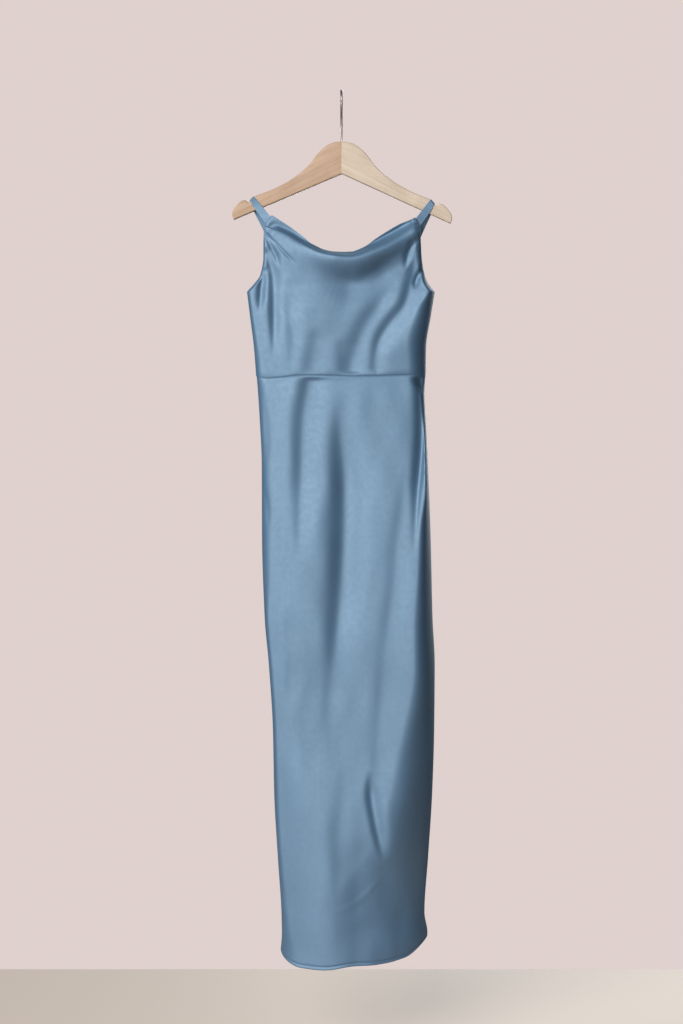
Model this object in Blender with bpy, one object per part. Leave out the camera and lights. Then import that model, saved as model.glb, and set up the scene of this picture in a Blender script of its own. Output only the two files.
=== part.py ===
"""A floor-length satin dress with a cowl neck, hung by its two straps on a wooden hanger.

Nine separate solids: two bodice panels, two skirt panels, two straps, the two glued halves of the
hanger and its wire hook. The origin is the inside of the hook's top, where a rail or a ledge carries
it. The front faces -Y, +X is on the right seen from the front, and +Z is up.

Sizes are in millimetres here and become metres where a mesh is written.
"""

import math
from bisect import bisect_right
from collections import namedtuple

import bmesh
import bpy
from mathutils import Vector

MM = 0.001

# Driving sizes
CLOTH = 1.5  # wall of every panel and strap
SEAM = 0.3  # room between two pieces that are sewn together
CLEAR = 0.3  # room between two pieces that rest on each other
STRAP_WIDTH = 13.0
STRAP_TUCK = 10.0  # how far a strap's end runs down inside the panel that it is sewn to
STRAP_END_INSIDE = 2.5  # the end lies this much deeper, clear of the panel's drape
STRAP_ON_FACE = 10.0  # below the notch, the strap lies on the wood's face by this much
STRAP_SEAT = 0.42  # the strap's middle on the notch's flank, as a share of its length
STRAP_SQUEEZE = 0.68  # the notch gathers the strap to this share of its width

HANGER_THICK = 12.0
HANGER_EDGE = 2.0  # radius on the wood's edges
HANGER_TILT = math.radians(1.0)  # the right arm hangs a little lower
HANGER_SHIFT = 1.2  # the hanger's middle hangs this much to the right of the hook's top
HEAD_TOP = -81.0

WIRE_RADIUS = 2.0
HOOK_INNER_RADIUS = 18.0
HOOK_ARC = (math.radians(232), math.radians(-28))  # from above the stem round to the hook's tip
HOOK_ARC_POINTS = 19
HOOK_STEM_TOP = -60.0  # the stem is straight up to here
HOOK_BEND_PULL = 9.0  # how far the bend onto the arc keeps each of its two ways
HOOK_BEND_POINTS = 5
HOOK_IN_WOOD = 16.0
HOLE_ABOVE_HEAD = 6.0  # the drill starts above the curved head

UNDERARM = -324.3
WAIST_LEVEL = -459.0
LEFT_ROUNDNESS = 0.3  # how a panel turns at its two side seams: the less, the sharper
RIGHT_ROUNDNESS = 0.6
FOLD_FADE = 1.2  # folds are whole where a panel has turned by more than 1 / this, and die away below
EDGE_HOLDS_FOLDS = 10.0  # an armhole's edge that stands off by this takes the whole fold

# Cells across and down each panel
Cells = namedtuple("Cells", "across down")
BODICE_FRONT_CELLS = Cells(32, 22)
BODICE_BACK_CELLS = Cells(18, 12)
SKIRT_FRONT_CELLS = Cells(36, 38)
SKIRT_BACK_CELLS = Cells(22, 30)
EDGE_CROWDING = 0.7  # columns are narrower towards the sides, where the cloth turns
ROWS_ABOVE_UNDERARM = {BODICE_FRONT_CELLS: 12, BODICE_BACK_CELLS: 4}

# The armhole edges, from a strap's corner down to the underarm. edge is how far the cloth's edge
# stands off the plane of the side seams there.
Armhole = namedtuple("Armhole", "z left right edge")
FRONT_ARMHOLE = [
    Armhole(-201, -112.5, 116.5, 14),
    Armhole(-213, -121, 123, 14),
    Armhole(-230, -125.5, 127, 13.5),
    Armhole(-270, -126, 129.5, 12),
    Armhole(-298, -131.5, 134.5, 8),
    Armhole(-310, -140, 139.5, 4.5),
    Armhole(-324.3, -153.2, 151.6, 0),
]
BACK_ARMHOLE = [
    Armhole(-249, -114, 122, 13),
    Armhole(-270, -120, 125.5, 12.5),
    Armhole(-290, -127, 128.5, 10),
    Armhole(-310, -139, 138.5, 5),
    Armhole(-324.3, -153.2, 151.6, 0),
]

# The side seams below the underarm
Side = namedtuple("Side", "z left right")
BODICE_SIDES = [
    Side(-324.3, -153.2, 151.6),
    Side(-363, -148.4, 145.1),
    Side(-415, -141.9, 137.2),
    Side(-466, -138, 136.6),
]
SKIRT_SIDES = [
    Side(-455, -138, 136.6),
    Side(-487, -135.4, 134.6),
    Side(-538, -132.2, 137.0),
    Side(-600, -129.4, 140.0),
    Side(-720, -128.9, 144.6),
    Side(-850, -124.5, 147.6),
    Side(-928, -117.6, 151.2),
    Side(-1031, -111.1, 150.4),
    Side(-1135, -109.0, 147.2),
    Side(-1239, -103.0, 140.6),
    Side(-1330, -97.2, 134.6),
    Side(-1362, -96.6, 139.4),
    Side(-1398, -99.4, 134.0),
]

# How far a panel stands off the side seams' plane once it has turned to the front or to the back, at
# its left and at its right, and the width over which it turns there
Depth = namedtuple("Depth", "z left right left_turn right_turn")
BODICE_FRONT_DEPTHS = [
    Depth(-200, 20, 22, 60, 40),
    Depth(-235, 25, 26, 80, 50),
    Depth(-262, 30, 31, 90, 55),
    Depth(-295, 31, 33, 100, 44),
    Depth(-330, 32, 37, 110, 34),
    Depth(-400, 32, 37, 110, 34),
    Depth(-466, 31, 33, 110, 32),
]
BODICE_BACK_DEPTHS = [
    Depth(-245, 15, 15, 60, 40),
    Depth(-300, 16, 16, 80, 40),
    Depth(-330, 17, 17, 90, 34),
    Depth(-466, 17, 17, 90, 34),
]
SKIRT_FRONT_DEPTHS = [
    Depth(-455, 32, 33, 110, 30),
    Depth(-538, 36, 42, 110, 34),
    Depth(-640, 40, 52, 110, 40),
    Depth(-760, 45, 62, 110, 50),
    Depth(-928, 52, 74, 120, 66),
    Depth(-1135, 60, 84, 125, 95),
    Depth(-1290, 70, 92, 130, 130),
    Depth(-1398, 78, 94, 130, 145),
]
SKIRT_BACK_DEPTHS = [
    Depth(-455, 17, 17, 90, 34),
    Depth(-538, 20, 20, 90, 38),
    Depth(-720, 28, 27, 100, 48),
    Depth(-928, 38, 35, 110, 60),
    Depth(-1135, 48, 44, 120, 76),
    Depth(-1398, 66, 60, 130, 96),
]

# The neck's edge, by the share of the panel's width from the left
Neck = namedtuple("Neck", "across z")
COWL_EDGE = [
    Neck(0, -201),
    Neck(0.075, -208.5),
    Neck(0.13, -215.5),
    Neck(0.2, -226.5),
    Neck(0.255, -236.5),
    Neck(0.293, -245.5),
    Neck(0.335, -251.5),
    Neck(0.38, -257),
    Neck(0.44, -260.6),
    Neck(0.5, -261.2),
    Neck(0.56, -260.6),
    Neck(0.6, -257.2),
    Neck(0.64, -252.3),
    Neck(0.71, -240.2),
    Neck(0.8, -226.5),
    Neck(0.88, -216),
    Neck(0.94, -210.5),
    Neck(1, -204.5),
]
BACK_SCOOP = [Neck(0, -249), Neck(0.2, -262), Neck(0.5, -274), Neck(0.8, -263), Neck(1, -251)]

# The waist seam and the hem, by the distance from the middle and by the share of the width
Waist = namedtuple("Waist", "x z")
WAIST = [
    Waist(-140, -460.5),
    Waist(-120, -464),
    Waist(-94, -462),
    Waist(-65, -459),
    Waist(28, -460),
    Waist(89, -459),
    Waist(137, -456.5),
]
WAIST_PINCH = 2.0  # the seam draws the cloth in by this
WAIST_PINCH_REACH = 9.0
Hem = namedtuple("Hem", "across front back")
HEM = [
    Hem(0, -1388, -1388),
    Hem(0.15, -1395, -1388),
    Hem(0.3, -1394, -1386),
    Hem(0.5, -1388, -1382),
    Hem(0.7, -1385.5, -1379),
    Hem(0.85, -1380, -1374),
    Hem(1, -1368, -1368),
]

# The largest folds, each along a smooth curve through a few points, downwards or from left to right.
# The flanks are how wide it is to the left and to the right of someone who walks along it, depth sets
# the cloth back, or forward where it is below 0, and head and tail say how much of the depth is there
# at the curve's two ends.
Fold = namedtuple("Fold", "points left_flank right_flank depth head tail")
BODICE_FRONT_FOLDS = {
    "cowl roll": Fold([(-96, -238), (-25, -267), (7, -267), (44, -257), (116, -222)], 9, 20, -22, 0.3, 0.6),
    "hollow under the roll": Fold([(-45, -284), (18, -300), (55, -286), (120, -240)], 15, 13, 10, 0, 0.6),
    "right armhole valley": Fold([(124, -250), (115, -295), (101, -350)], 9, 8, 6, 0.5, 0.2),
    "right armhole tuck": Fold([(131, -286), (124, -304), (117, -324)], 6, 5.5, 3, 0.9, 0),
    "long right drape": Fold([(108, -330), (77, -371), (55, -425), (53, -446)], 20, 12, 5, 0.3, 0.3),
    "short right drape": Fold([(78, -314), (40, -373), (13, -425), (12, -452)], 20, 15, 3, 0.1, 0.5),
    "left corner crease": Fold([(-120, -233), (-97, -256), (-49, -315)], 7, 6, 2.5, 0.8, 0),
    "left side drape": Fold([(-119, -262), (-113, -347), (-109, -440)], 12, 6, 4.5, 0.3, 0.1),
    "left inner drape": Fold([(-90, -330), (-84, -400), (-80, -452)], 22, 10, 2.5, 0, 0.6),
}
BODICE_BACK_FOLDS = {
    "left shoulder drape": Fold([(-104, -262), (-78, -330), (-62, -450)], 15, 15, 3.5, 0.4, 0.3),
    "right shoulder drape": Fold([(108, -264), (84, -334), (66, -446)], 14, 14, 4, 0.4, 0.2),
    "middle drape": Fold([(-8, -290), (2, -360), (-4, -452)], 18, 18, 2.5, 0, 0.5),
}
SKIRT_FRONT_FOLDS = {
    "left waist fold": Fold([(-52, -462), (-61, -513), (-65, -577), (-68, -730)], 30, 12, 7, 0.8, 0),
    "long middle fold": Fold([(-10, -500), (3, -640), (3, -720), (-4, -900)], 60, 17, 14, 0, 0),
    "right waist fold": Fold([(136, -466), (133, -545), (121, -690)], 8, 11, 6, 0.9, 0.1),
    "right hip fold": Fold([(106, -600), (96, -690), (86, -800)], 14, 14, 3, 0, 0),
    "left knee fold": Fold([(-34, -880), (-56, -1030), (-54, -1200)], 30, 22, 4, 0, 0),
    "middle knee fold": Fold([(2, -1070), (0, -1160), (-4, -1290)], 18, 13, 3.5, 0, 0),
    "short shin crease": Fold([(43, -1088), (46, -1141), (67, -1228)], 13, 9, 5, 0, 0),
    "left hem flute": Fold([(-76, -1310), (-82, -1350), (-86, -1396)], 14, 13, 3, 0, 1),
    "right hem flute": Fold([(34, -1310), (30, -1350), (28, -1392)], 16, 15, 3, 0, 1),
}
SKIRT_BACK_FOLDS = {
    "left back flute": Fold([(-72, -462), (-66, -900), (-62, -1390)], 19, 19, 8, 0.5, 1),
    "middle back flute": Fold([(8, -462), (16, -880), (20, -1388)], 21, 21, 9, 0.3, 1),
    "right back flute": Fold([(84, -462), (92, -900), (94, -1384)], 18, 18, 7.5, 0.5, 1),
    "left hip drape": Fold([(-104, -560), (-96, -700), (-98, -880)], 12, 12, 3.5, 0, 0),
    "right hip drape": Fold([(120, -600), (126, -760), (120, -960)], 11, 11, 3.5, 0, 0),
}

# The right half of the level hanger's outline. A sharp point is a corner.
Outline = namedtuple("Outline", "x z sharp")
HANGER_HALF = [
    Outline(0, HEAD_TOP, False),
    Outline(19, -84.5, False),
    Outline(38, -99.5, False),
    Outline(54, -120, False),
    Outline(76, -139, False),
    Outline(102, -155, False),
    Outline(143, -172.5, True),
    Outline(151, -182, False),
    Outline(158, -178.5, False),
    Outline(171, -187.5, False),
    Outline(178, -200.5, False),
    Outline(175.5, -210.5, True),
    Outline(0, -133, True),
]
NOTCH_SHOULDER = Vector((143, -172.5))
NOTCH_BOTTOM = Vector((151, -182))

# Colours as linear red, green and blue
SATIN = (0.16, 0.27, 0.39)
WOOD_LEFT = (0.60, 0.42, 0.28)
WOOD_RIGHT = (0.58, 0.44, 0.33)
STEEL = (0.62, 0.61, 0.60)


class Curve:
    """A smooth curve through a table's rows, read by the first column, with no overshoot."""

    def __init__(self, table, column):
        rows = sorted(table, key=lambda row: row[0])
        self.places = [row[0] for row in rows]
        self.values = [getattr(row, column) for row in rows]
        steps = [
            (self.values[i + 1] - self.values[i]) / (self.places[i + 1] - self.places[i])
            for i in range(len(rows) - 1)
        ]
        self.slopes = [steps[0]]
        for before, after in zip(steps, steps[1:]):
            same_way = before * after > 0
            self.slopes.append(2 * before * after / (before + after) if same_way else 0.0)
        self.slopes.append(steps[-1])

    def __call__(self, place):
        place = min(max(place, self.places[0]), self.places[-1])
        i = min(bisect_right(self.places, place), len(self.places) - 1) - 1
        step = self.places[i + 1] - self.places[i]
        t = (place - self.places[i]) / step
        return (
            self.values[i] * (1 + 2 * t) * (1 - t) ** 2
            + self.slopes[i] * step * t * (1 - t) ** 2
            + self.values[i + 1] * t * t * (3 - 2 * t)
            - self.slopes[i + 1] * step * t * t * (1 - t)
        )


def mixed(a, b, share):
    return a + (b - a) * share


def eased(t):
    """0 to 1, flat at both ends."""
    t = min(max(t, 0.0), 1.0)
    return t * t * (3 - 2 * t)


waist_line = Curve(WAIST, "z")


# Folds

FOLD_STEPS = 20
FOLD_FADES = 0.3  # each end's own share of the path


def fold_path(fold):
    """Points along the smooth curve that passes through a fold's own points."""
    points = [Vector(p) for p in fold.points]
    around = [2 * points[0] - points[1], *points, 2 * points[-1] - points[-2]]
    path = []
    for i in range(FOLD_STEPS + 1):
        t = i / FOLD_STEPS * (len(points) - 1)
        stretch = min(int(t), len(points) - 2)
        t -= stretch
        a, b, c, d = around[stretch : stretch + 4]
        bend = (2 * a - 5 * b + 4 * c - d) * t**2 + (3 * b - a - 3 * c + d) * t**3
        path.append(b + ((c - a) * t + bend) / 2)
    return path


def prepared(folds):
    return [(fold, fold_path(fold)) for fold in folds.values()]


def nearest_on(path, here):
    """How far a place is from a path, whether it lies on its left, and the share of the path there."""
    best = None
    for i, (start, end) in enumerate(zip(path, path[1:])):
        run = end - start
        t = min(max((here - start).dot(run) / run.length_squared, 0.0), 1.0)
        way = here - (start + run * t)
        if best is None or way.length < best[0]:
            best = (way.length, run.cross(way) > 0, (i + t) / FOLD_STEPS)
    return best


def pressed(folds, x, z):
    """How far the folds together set the cloth back at this place."""
    total = 0.0
    here = Vector((x, z))
    for fold, path in folds:
        distance, on_left, along = nearest_on(path, here)
        flank = fold.left_flank if on_left else fold.right_flank
        head = mixed(fold.head, 1, eased(along / FOLD_FADES))
        tail = mixed(fold.tail, 1, eased((1 - along) / FOLD_FADES))
        total += fold.depth * head * tail * math.exp(-((distance / flank) ** 2))
    return total


# Panels: each is a flat grid that a function bends to its place, given a wall, then trimmed at
# its seams


def column_share(column, cells):
    """How far across a panel a column of cells lies, from 0 at the left to 1."""
    even = column / cells.across
    return mixed(even, (1 - math.cos(math.pi * even)) / 2, EDGE_CROWDING)


def turned(from_edge, width, roundness):
    """0 at a panel's edge, 1 once the cloth has turned to the front or to the back."""
    return math.sin(math.pi / 2 * min(max(from_edge / width, 0.0), 1.0)) ** roundness


def section(table):
    """A panel's cross-section: how far it stands off at a place, and how far it has turned there."""
    depth_left, depth_right = Curve(table, "left"), Curve(table, "right")
    turn_left, turn_right = Curve(table, "left_turn"), Curve(table, "right_turn")

    def at(x, z, left, right):
        depth = mixed(depth_left(z), depth_right(z), (x - left) / (right - left))
        from_left = turned(x - left, turn_left(z), LEFT_ROUNDNESS)
        from_right = turned(right - x, turn_right(z), RIGHT_ROUNDNESS)
        return depth, from_left * from_right

    return at


def skirt_panel(cells, side, depths, folds):
    """Where the skirt's front (side -1) or back (side 1) lies, by cell."""
    left, right = Curve(SKIRT_SIDES, "left"), Curve(SKIRT_SIDES, "right")
    hem = Curve(HEM, "front" if side < 0 else "back")
    section_at = section(depths)
    ready = prepared(folds)

    def place(column, row):
        across = column_share(column, cells)
        top = waist_line(mixed(left(WAIST_LEVEL), right(WAIST_LEVEL), across)) - SEAM / 2
        z = mixed(top, hem(across), row / cells.down)
        x = mixed(left(z), right(z), across)
        depth, bulge = section_at(x, z, left(z), right(z))
        pinch = WAIST_PINCH * math.exp(-(((z - top) / WAIST_PINCH_REACH) ** 2))
        standing = (depth - pinch) * bulge - pressed(ready, x, z) * min(1.0, FOLD_FADE * bulge)
        return Vector((x, side * (SEAM / 2 + max(standing, 0.0)), z))

    return place


def bodice_panel(cells, side, armhole, neck_table, depths, folds):
    """Where the bodice's front (side -1) or back (side 1) lies, by cell."""
    arm_left, arm_right = Curve(armhole, "left"), Curve(armhole, "right")
    arm_edge = Curve(armhole, "edge")
    side_left, side_right = Curve(BODICE_SIDES, "left"), Curve(BODICE_SIDES, "right")
    section_at = section(depths)
    neck = Curve(neck_table, "z")
    ready = prepared(folds)
    upper_rows = ROWS_ABOVE_UNDERARM[cells]

    def edges(z):
        if z > UNDERARM:
            return arm_left(z), arm_right(z), arm_edge(z)
        return side_left(z), side_right(z), 0.0

    def share_down(across, row):
        """The underarm falls on a row of the grid, on both sides."""
        shares = []
        for end, side_seam in ((0, side_left), (1, side_right)):
            bottom = waist_line(side_seam(WAIST_LEVEL)) + SEAM / 2
            shares.append((neck(end) - UNDERARM) / (neck(end) - bottom))
        underarm_share = mixed(shares[0], shares[1], across)
        if row <= upper_rows:
            return underarm_share * row / upper_rows
        return mixed(underarm_share, 1, (row - upper_rows) / (cells.down - upper_rows))

    def place(column, row):
        across = column_share(column, cells)
        bottom = waist_line(mixed(side_left(WAIST_LEVEL), side_right(WAIST_LEVEL), across)) + SEAM / 2
        z = mixed(neck(across), bottom, share_down(across, row))
        left, right, edge = edges(z)
        x = mixed(left, right, across)
        depth, bulge = section_at(x, z, left, right)
        pinch = WAIST_PINCH * math.exp(-(((z - bottom) / WAIST_PINCH_REACH) ** 2))
        standing = mixed(edge, depth, bulge) - pinch * bulge
        standing -= pressed(ready, x, z) * min(1.0, edge / EDGE_HOLDS_FOLDS + FOLD_FADE * bulge)
        return Vector((x, side * (SEAM / 2 + max(standing, 0.0)), z))

    return place


def trimmed(bm, side, lowest=None, highest=None):
    """Brings the wall's rim back to the planes and lines where the piece meets its neighbours."""
    for vert in bm.verts:
        vert.co.y = side * max(side * vert.co.y, SEAM / 2 * MM)
        seam = waist_line(vert.co.x / MM) * MM
        if lowest is not None:
            vert.co.z = max(vert.co.z, seam + lowest * MM)
        if highest is not None:
            vert.co.z = min(vert.co.z, seam + highest * MM)


def panel_object(name, cells, place, side, colour, **seams):
    bm = bmesh.new()
    bmesh.ops.create_grid(bm, x_segments=cells.across, y_segments=cells.down, size=0.5)
    for vert in bm.verts:
        column = round((0.5 - side * vert.co.x) * cells.across)
        row = round((0.5 - vert.co.y) * cells.down)
        vert.co = place(column, row) * MM
    bm.normal_update()
    bmesh.ops.solidify(bm, geom=bm.faces[:], thickness=CLOTH * MM)
    trimmed(bm, side, **seams)
    return solid_object(name, bm, colour, smooth_angle=50)


# Objects and materials


def collection_named(name):
    collection = bpy.data.collections.new(name)
    bpy.context.scene.collection.children.link(collection)
    return collection


def material(name, colour, roughness, metallic=0.0):
    made = bpy.data.materials.new(name)
    made.use_nodes = True
    shader = made.node_tree.nodes["Principled BSDF"]
    shader.inputs["Base Color"].default_value = (*colour, 1)
    shader.inputs["Roughness"].default_value = roughness
    shader.inputs["Metallic"].default_value = metallic
    made.diffuse_color = (*colour, 1)
    return made


def solid_object(name, bm, colour, roughness=0.35, metallic=0.0, smooth_angle=40):
    bmesh.ops.recalc_face_normals(bm, faces=bm.faces)
    if bm.calc_volume(signed=True) < 0:
        bmesh.ops.reverse_faces(bm, faces=bm.faces)
    mesh = bpy.data.meshes.new(name)
    bm.to_mesh(mesh)
    bm.free()
    mesh.shade_smooth()
    mesh.set_sharp_from_angle(angle=math.radians(smooth_angle))
    obj = bpy.data.objects.new(name, mesh)
    mesh.materials.append(material(name, colour, roughness, metallic))
    PARTS.objects.link(obj)
    return obj


def mesh_from_curve(curve_object):
    """A closed bmesh of a curve object as it is evaluated, in the scene's space. The curve goes."""
    bpy.context.view_layer.update()
    evaluated = curve_object.evaluated_get(bpy.context.evaluated_depsgraph_get())
    mesh = bpy.data.meshes.new_from_object(evaluated)
    bm = bmesh.new()
    bm.from_mesh(mesh)
    bm.transform(curve_object.matrix_world)
    bmesh.ops.remove_doubles(bm, verts=bm.verts, dist=1e-6)
    bpy.data.meshes.remove(mesh)
    bpy.data.objects.remove(curve_object)
    return bm


# The hanger


def hanger_point(x, z):
    """A place on the level hanger, moved to where the tilted hanger has it."""
    return Vector((x + HANGER_SHIFT, z - x * math.tan(HANGER_TILT)))


def hanger_outline():
    right = [(row.x, row.z, row.sharp) for row in HANGER_HALF]
    left = [(-x, z, sharp) for x, z, sharp in reversed(right[1:-1])]
    return right + left


def hanger_wood():
    """The whole outline with its edges rounded, before it is parted in two."""
    curve = bpy.data.curves.new("hanger outline", "CURVE")
    curve.dimensions = "2D"
    curve.fill_mode = "BOTH"
    curve.resolution_u = 4
    curve.extrude = (HANGER_THICK / 2 - HANGER_EDGE) * MM
    curve.bevel_depth = HANGER_EDGE * MM
    curve.bevel_resolution = 1
    curve.offset = -HANGER_EDGE * MM
    outline = hanger_outline()
    spline = curve.splines.new("BEZIER")
    spline.bezier_points.add(len(outline) - 1)
    spline.use_cyclic_u = True
    for point, (x, z, sharp) in zip(spline.bezier_points, outline):
        place = hanger_point(x, z) * MM
        point.co = (place.x, place.y, 0)
        kind = "VECTOR" if sharp else "AUTO"
        point.handle_left_type = kind
        point.handle_right_type = kind
    obj = bpy.data.objects.new("hanger outline", curve)
    obj.rotation_euler = (math.radians(90), 0, 0)
    bpy.context.scene.collection.objects.link(obj)
    return mesh_from_curve(obj)


def hanger_half(name, whole, side, colour, cutter):
    bm = whole.copy()
    cut = bmesh.ops.bisect_plane(
        bm,
        geom=bm.verts[:] + bm.edges[:] + bm.faces[:],
        dist=1e-6,
        plane_co=(side * CLEAR / 2 * MM, 0, 0),
        plane_no=(-side, 0, 0),
        clear_outer=True,
    )
    rim = [item for item in cut["geom_cut"] if isinstance(item, bmesh.types.BMEdge)]
    bmesh.ops.contextual_create(bm, geom=rim)
    obj = solid_object(name, bm, colour, roughness=0.5)
    drilled = obj.modifiers.new("hole for the hook", "BOOLEAN")
    drilled.object = cutter
    return obj


def hook_hole():
    """A blind hole in the head, half in each piece of wood."""
    reach = HOOK_IN_WOOD + CLEAR + HOLE_ABOVE_HEAD
    bm = bmesh.new()
    bmesh.ops.create_cone(
        bm,
        cap_ends=True,
        segments=16,
        radius1=(WIRE_RADIUS + CLEAR) * MM,
        radius2=(WIRE_RADIUS + CLEAR) * MM,
        depth=reach * MM,
    )
    middle = HEAD_TOP + HOLE_ABOVE_HEAD - reach / 2
    bmesh.ops.translate(bm, verts=bm.verts, vec=(0, 0, middle * MM))
    mesh = bpy.data.meshes.new("hook hole")
    bm.to_mesh(mesh)
    bm.free()
    cutter = bpy.data.objects.new("hook hole", mesh)
    cutter.hide_render = True
    cutter.display_type = "WIRE"
    CUTTERS.objects.link(cutter)
    return cutter


def hook_path():
    """Up out of the wood, forward, over the top and down behind, seen from the side."""
    radius = HOOK_INNER_RADIUS + WIRE_RADIUS
    centre = Vector((0, -HOOK_INNER_RADIUS))
    first, last = HOOK_ARC
    arc = []
    for i in range(HOOK_ARC_POINTS):
        angle = mixed(first, last, i / (HOOK_ARC_POINTS - 1))
        arc.append(centre + radius * Vector((math.cos(angle), math.sin(angle))))
    before_arc = arc[0] + HOOK_BEND_PULL * Vector((-math.sin(first), math.cos(first)))
    stem_top = Vector((0, HOOK_STEM_TOP))
    after_stem = stem_top + Vector((0, HOOK_BEND_PULL))
    bend = []
    for i in range(1, HOOK_BEND_POINTS + 1):
        t = i / (HOOK_BEND_POINTS + 1)
        ends = stem_top * (1 - t) ** 3 + arc[0] * t**3
        pulls = after_stem * 3 * t * (1 - t) ** 2 + before_arc * 3 * t * t * (1 - t)
        bend.append(ends + pulls)
    stem_foot = Vector((0, HEAD_TOP - HOOK_IN_WOOD))
    return [stem_foot, (stem_foot + stem_top) / 2, stem_top, *bend, *arc]


def hook_object():
    curve = bpy.data.curves.new("hook", "CURVE")
    curve.dimensions = "3D"
    curve.bevel_depth = WIRE_RADIUS * MM
    curve.bevel_resolution = 2
    curve.use_fill_caps = True
    path = hook_path()
    spline = curve.splines.new("POLY")
    spline.points.add(len(path) - 1)
    for point, place in zip(spline.points, path):
        point.co = (0, place.x * MM, place.y * MM, 1)
    curve.materials.append(material("hook", STEEL, 0.3, 1.0))
    obj = bpy.data.objects.new("hook", curve)
    PARTS.objects.link(obj)
    return obj


# The straps

Station = namedtuple("Station", "place y width_way width")


def strap_run(low, low_depth, seat, side, y_sign):
    """From a strap's tucked end, past the panel's corner, up to the face of the wood."""
    face = HANGER_THICK / 2 + CLEAR + CLOTH / 2
    way = (seat - low).normalized()
    width_way = Vector((way.y, -way.x)) * side
    on_face = seat - way * STRAP_ON_FACE
    rows = [
        (low - way * STRAP_TUCK, low_depth - STRAP_END_INSIDE),
        (low, low_depth),
        (mixed(low, on_face, 0.5), mixed(low_depth, face, 0.6)),
        (on_face, face),
    ]
    return [Station(place, y_sign * depth, width_way, STRAP_WIDTH) for place, depth in rows]


def strap_turn(seat, flank, out, y_sign):
    """Round the wood's edge, from its face onto the notch's flank."""
    radius = HANGER_EDGE + CLEAR + CLOTH / 2
    stations = []
    for degrees in (0, 30, 60, 90):
        angle = math.radians(degrees)
        place = seat + out * (radius * math.sin(angle) - HANGER_EDGE)
        y = HANGER_THICK / 2 - HANGER_EDGE + radius * math.cos(angle)
        stations.append(Station(place, y_sign * y, flank, STRAP_WIDTH * STRAP_SQUEEZE))
    return stations


def strap_stations(side):
    """Where a strap runs: inside the front corner, up over the notch, down inside the back corner."""
    shoulder = hanger_point(side * NOTCH_SHOULDER.x, NOTCH_SHOULDER.y)
    bottom = hanger_point(side * NOTCH_BOTTOM.x, NOTCH_BOTTOM.y)
    flank = (bottom - shoulder).normalized()
    out = Vector((-flank.y, flank.x)) * side
    seat = mixed(shoulder, bottom, STRAP_SEAT)
    key = "left" if side < 0 else "right"
    top, below = FRONT_ARMHOLE[0], FRONT_ARMHOLE[1]
    front = Vector(((getattr(top, key) + getattr(below, key)) / 2, (top.z + below.z) / 2))
    back = Vector((getattr(BACK_ARMHOLE[0], key) - side * STRAP_WIDTH / 2, BACK_ARMHOLE[0].z))
    inside = CLOTH * 1.5 + 2 * CLEAR
    return [
        *strap_run(front, top.edge - inside, seat, side, -1),
        *strap_turn(seat, flank, out, -1),
        *reversed(strap_turn(seat, flank, out, 1)),
        *reversed(strap_run(back, BACK_ARMHOLE[0].edge - inside, seat, side, 1)),
    ]


def strap_object(name, side):
    stations = strap_stations(side)
    last = len(stations) - 1
    bm = bmesh.new()
    bmesh.ops.create_grid(bm, x_segments=2, y_segments=last, size=0.5)
    for vert in bm.verts:
        station = stations[round((vert.co.y + 0.5) * last)]
        place = station.place + station.width_way * station.width * vert.co.x
        vert.co = Vector((place.x, station.y, place.y)) * MM
    bm.normal_update()
    for vert, way in [(vert, vert.normal.copy()) for vert in bm.verts]:
        vert.co += way * CLOTH / 2 * MM
    bmesh.ops.solidify(bm, geom=bm.faces[:], thickness=CLOTH * MM)
    return solid_object(name, bm, SATIN)


for obj in list(bpy.data.objects):
    bpy.data.objects.remove(obj)
PARTS = collection_named("satin_dress")
CUTTERS = collection_named("cutters")

panel_object(
    "bodice_front",
    BODICE_FRONT_CELLS,
    bodice_panel(
        BODICE_FRONT_CELLS, -1, FRONT_ARMHOLE, COWL_EDGE, BODICE_FRONT_DEPTHS, BODICE_FRONT_FOLDS
    ),
    -1,
    SATIN,
    lowest=SEAM / 2,
)
panel_object(
    "bodice_back",
    BODICE_BACK_CELLS,
    bodice_panel(
        BODICE_BACK_CELLS, 1, BACK_ARMHOLE, BACK_SCOOP, BODICE_BACK_DEPTHS, BODICE_BACK_FOLDS
    ),
    1,
    SATIN,
    lowest=SEAM / 2,
)
panel_object(
    "skirt_front",
    SKIRT_FRONT_CELLS,
    skirt_panel(SKIRT_FRONT_CELLS, -1, SKIRT_FRONT_DEPTHS, SKIRT_FRONT_FOLDS),
    -1,
    SATIN,
    highest=-SEAM / 2,
)
panel_object(
    "skirt_back",
    SKIRT_BACK_CELLS,
    skirt_panel(SKIRT_BACK_CELLS, 1, SKIRT_BACK_DEPTHS, SKIRT_BACK_FOLDS),
    1,
    SATIN,
    highest=-SEAM / 2,
)
strap_object("strap_left", -1)
strap_object("strap_right", 1)

hole = hook_hole()
wood = hanger_wood()
hanger_half("hanger_left", wood, -1, WOOD_LEFT, hole)
hanger_half("hanger_right", wood, 1, WOOD_RIGHT, hole)
wood.free()
hook_object()
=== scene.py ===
# %% [markdown]
# # A satin dress with a cowl neck, hung on its wooden hanger
# The construction is packed already: nine solids that say where each panel, strap and piece of
# wood lies, in metres, with the inside of the hook's top at the origin. This script dresses them.
# Each panel of cloth becomes a thin shell with its creases, and wood and wire get finer shapes and
# their own finish.
#
# # The frame comes first
# Loading it gives the solids to build on.

# %% Load the frame
import math

import bmesh
import bpy
import numpy as np
from mathutils import Matrix, Vector


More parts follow.
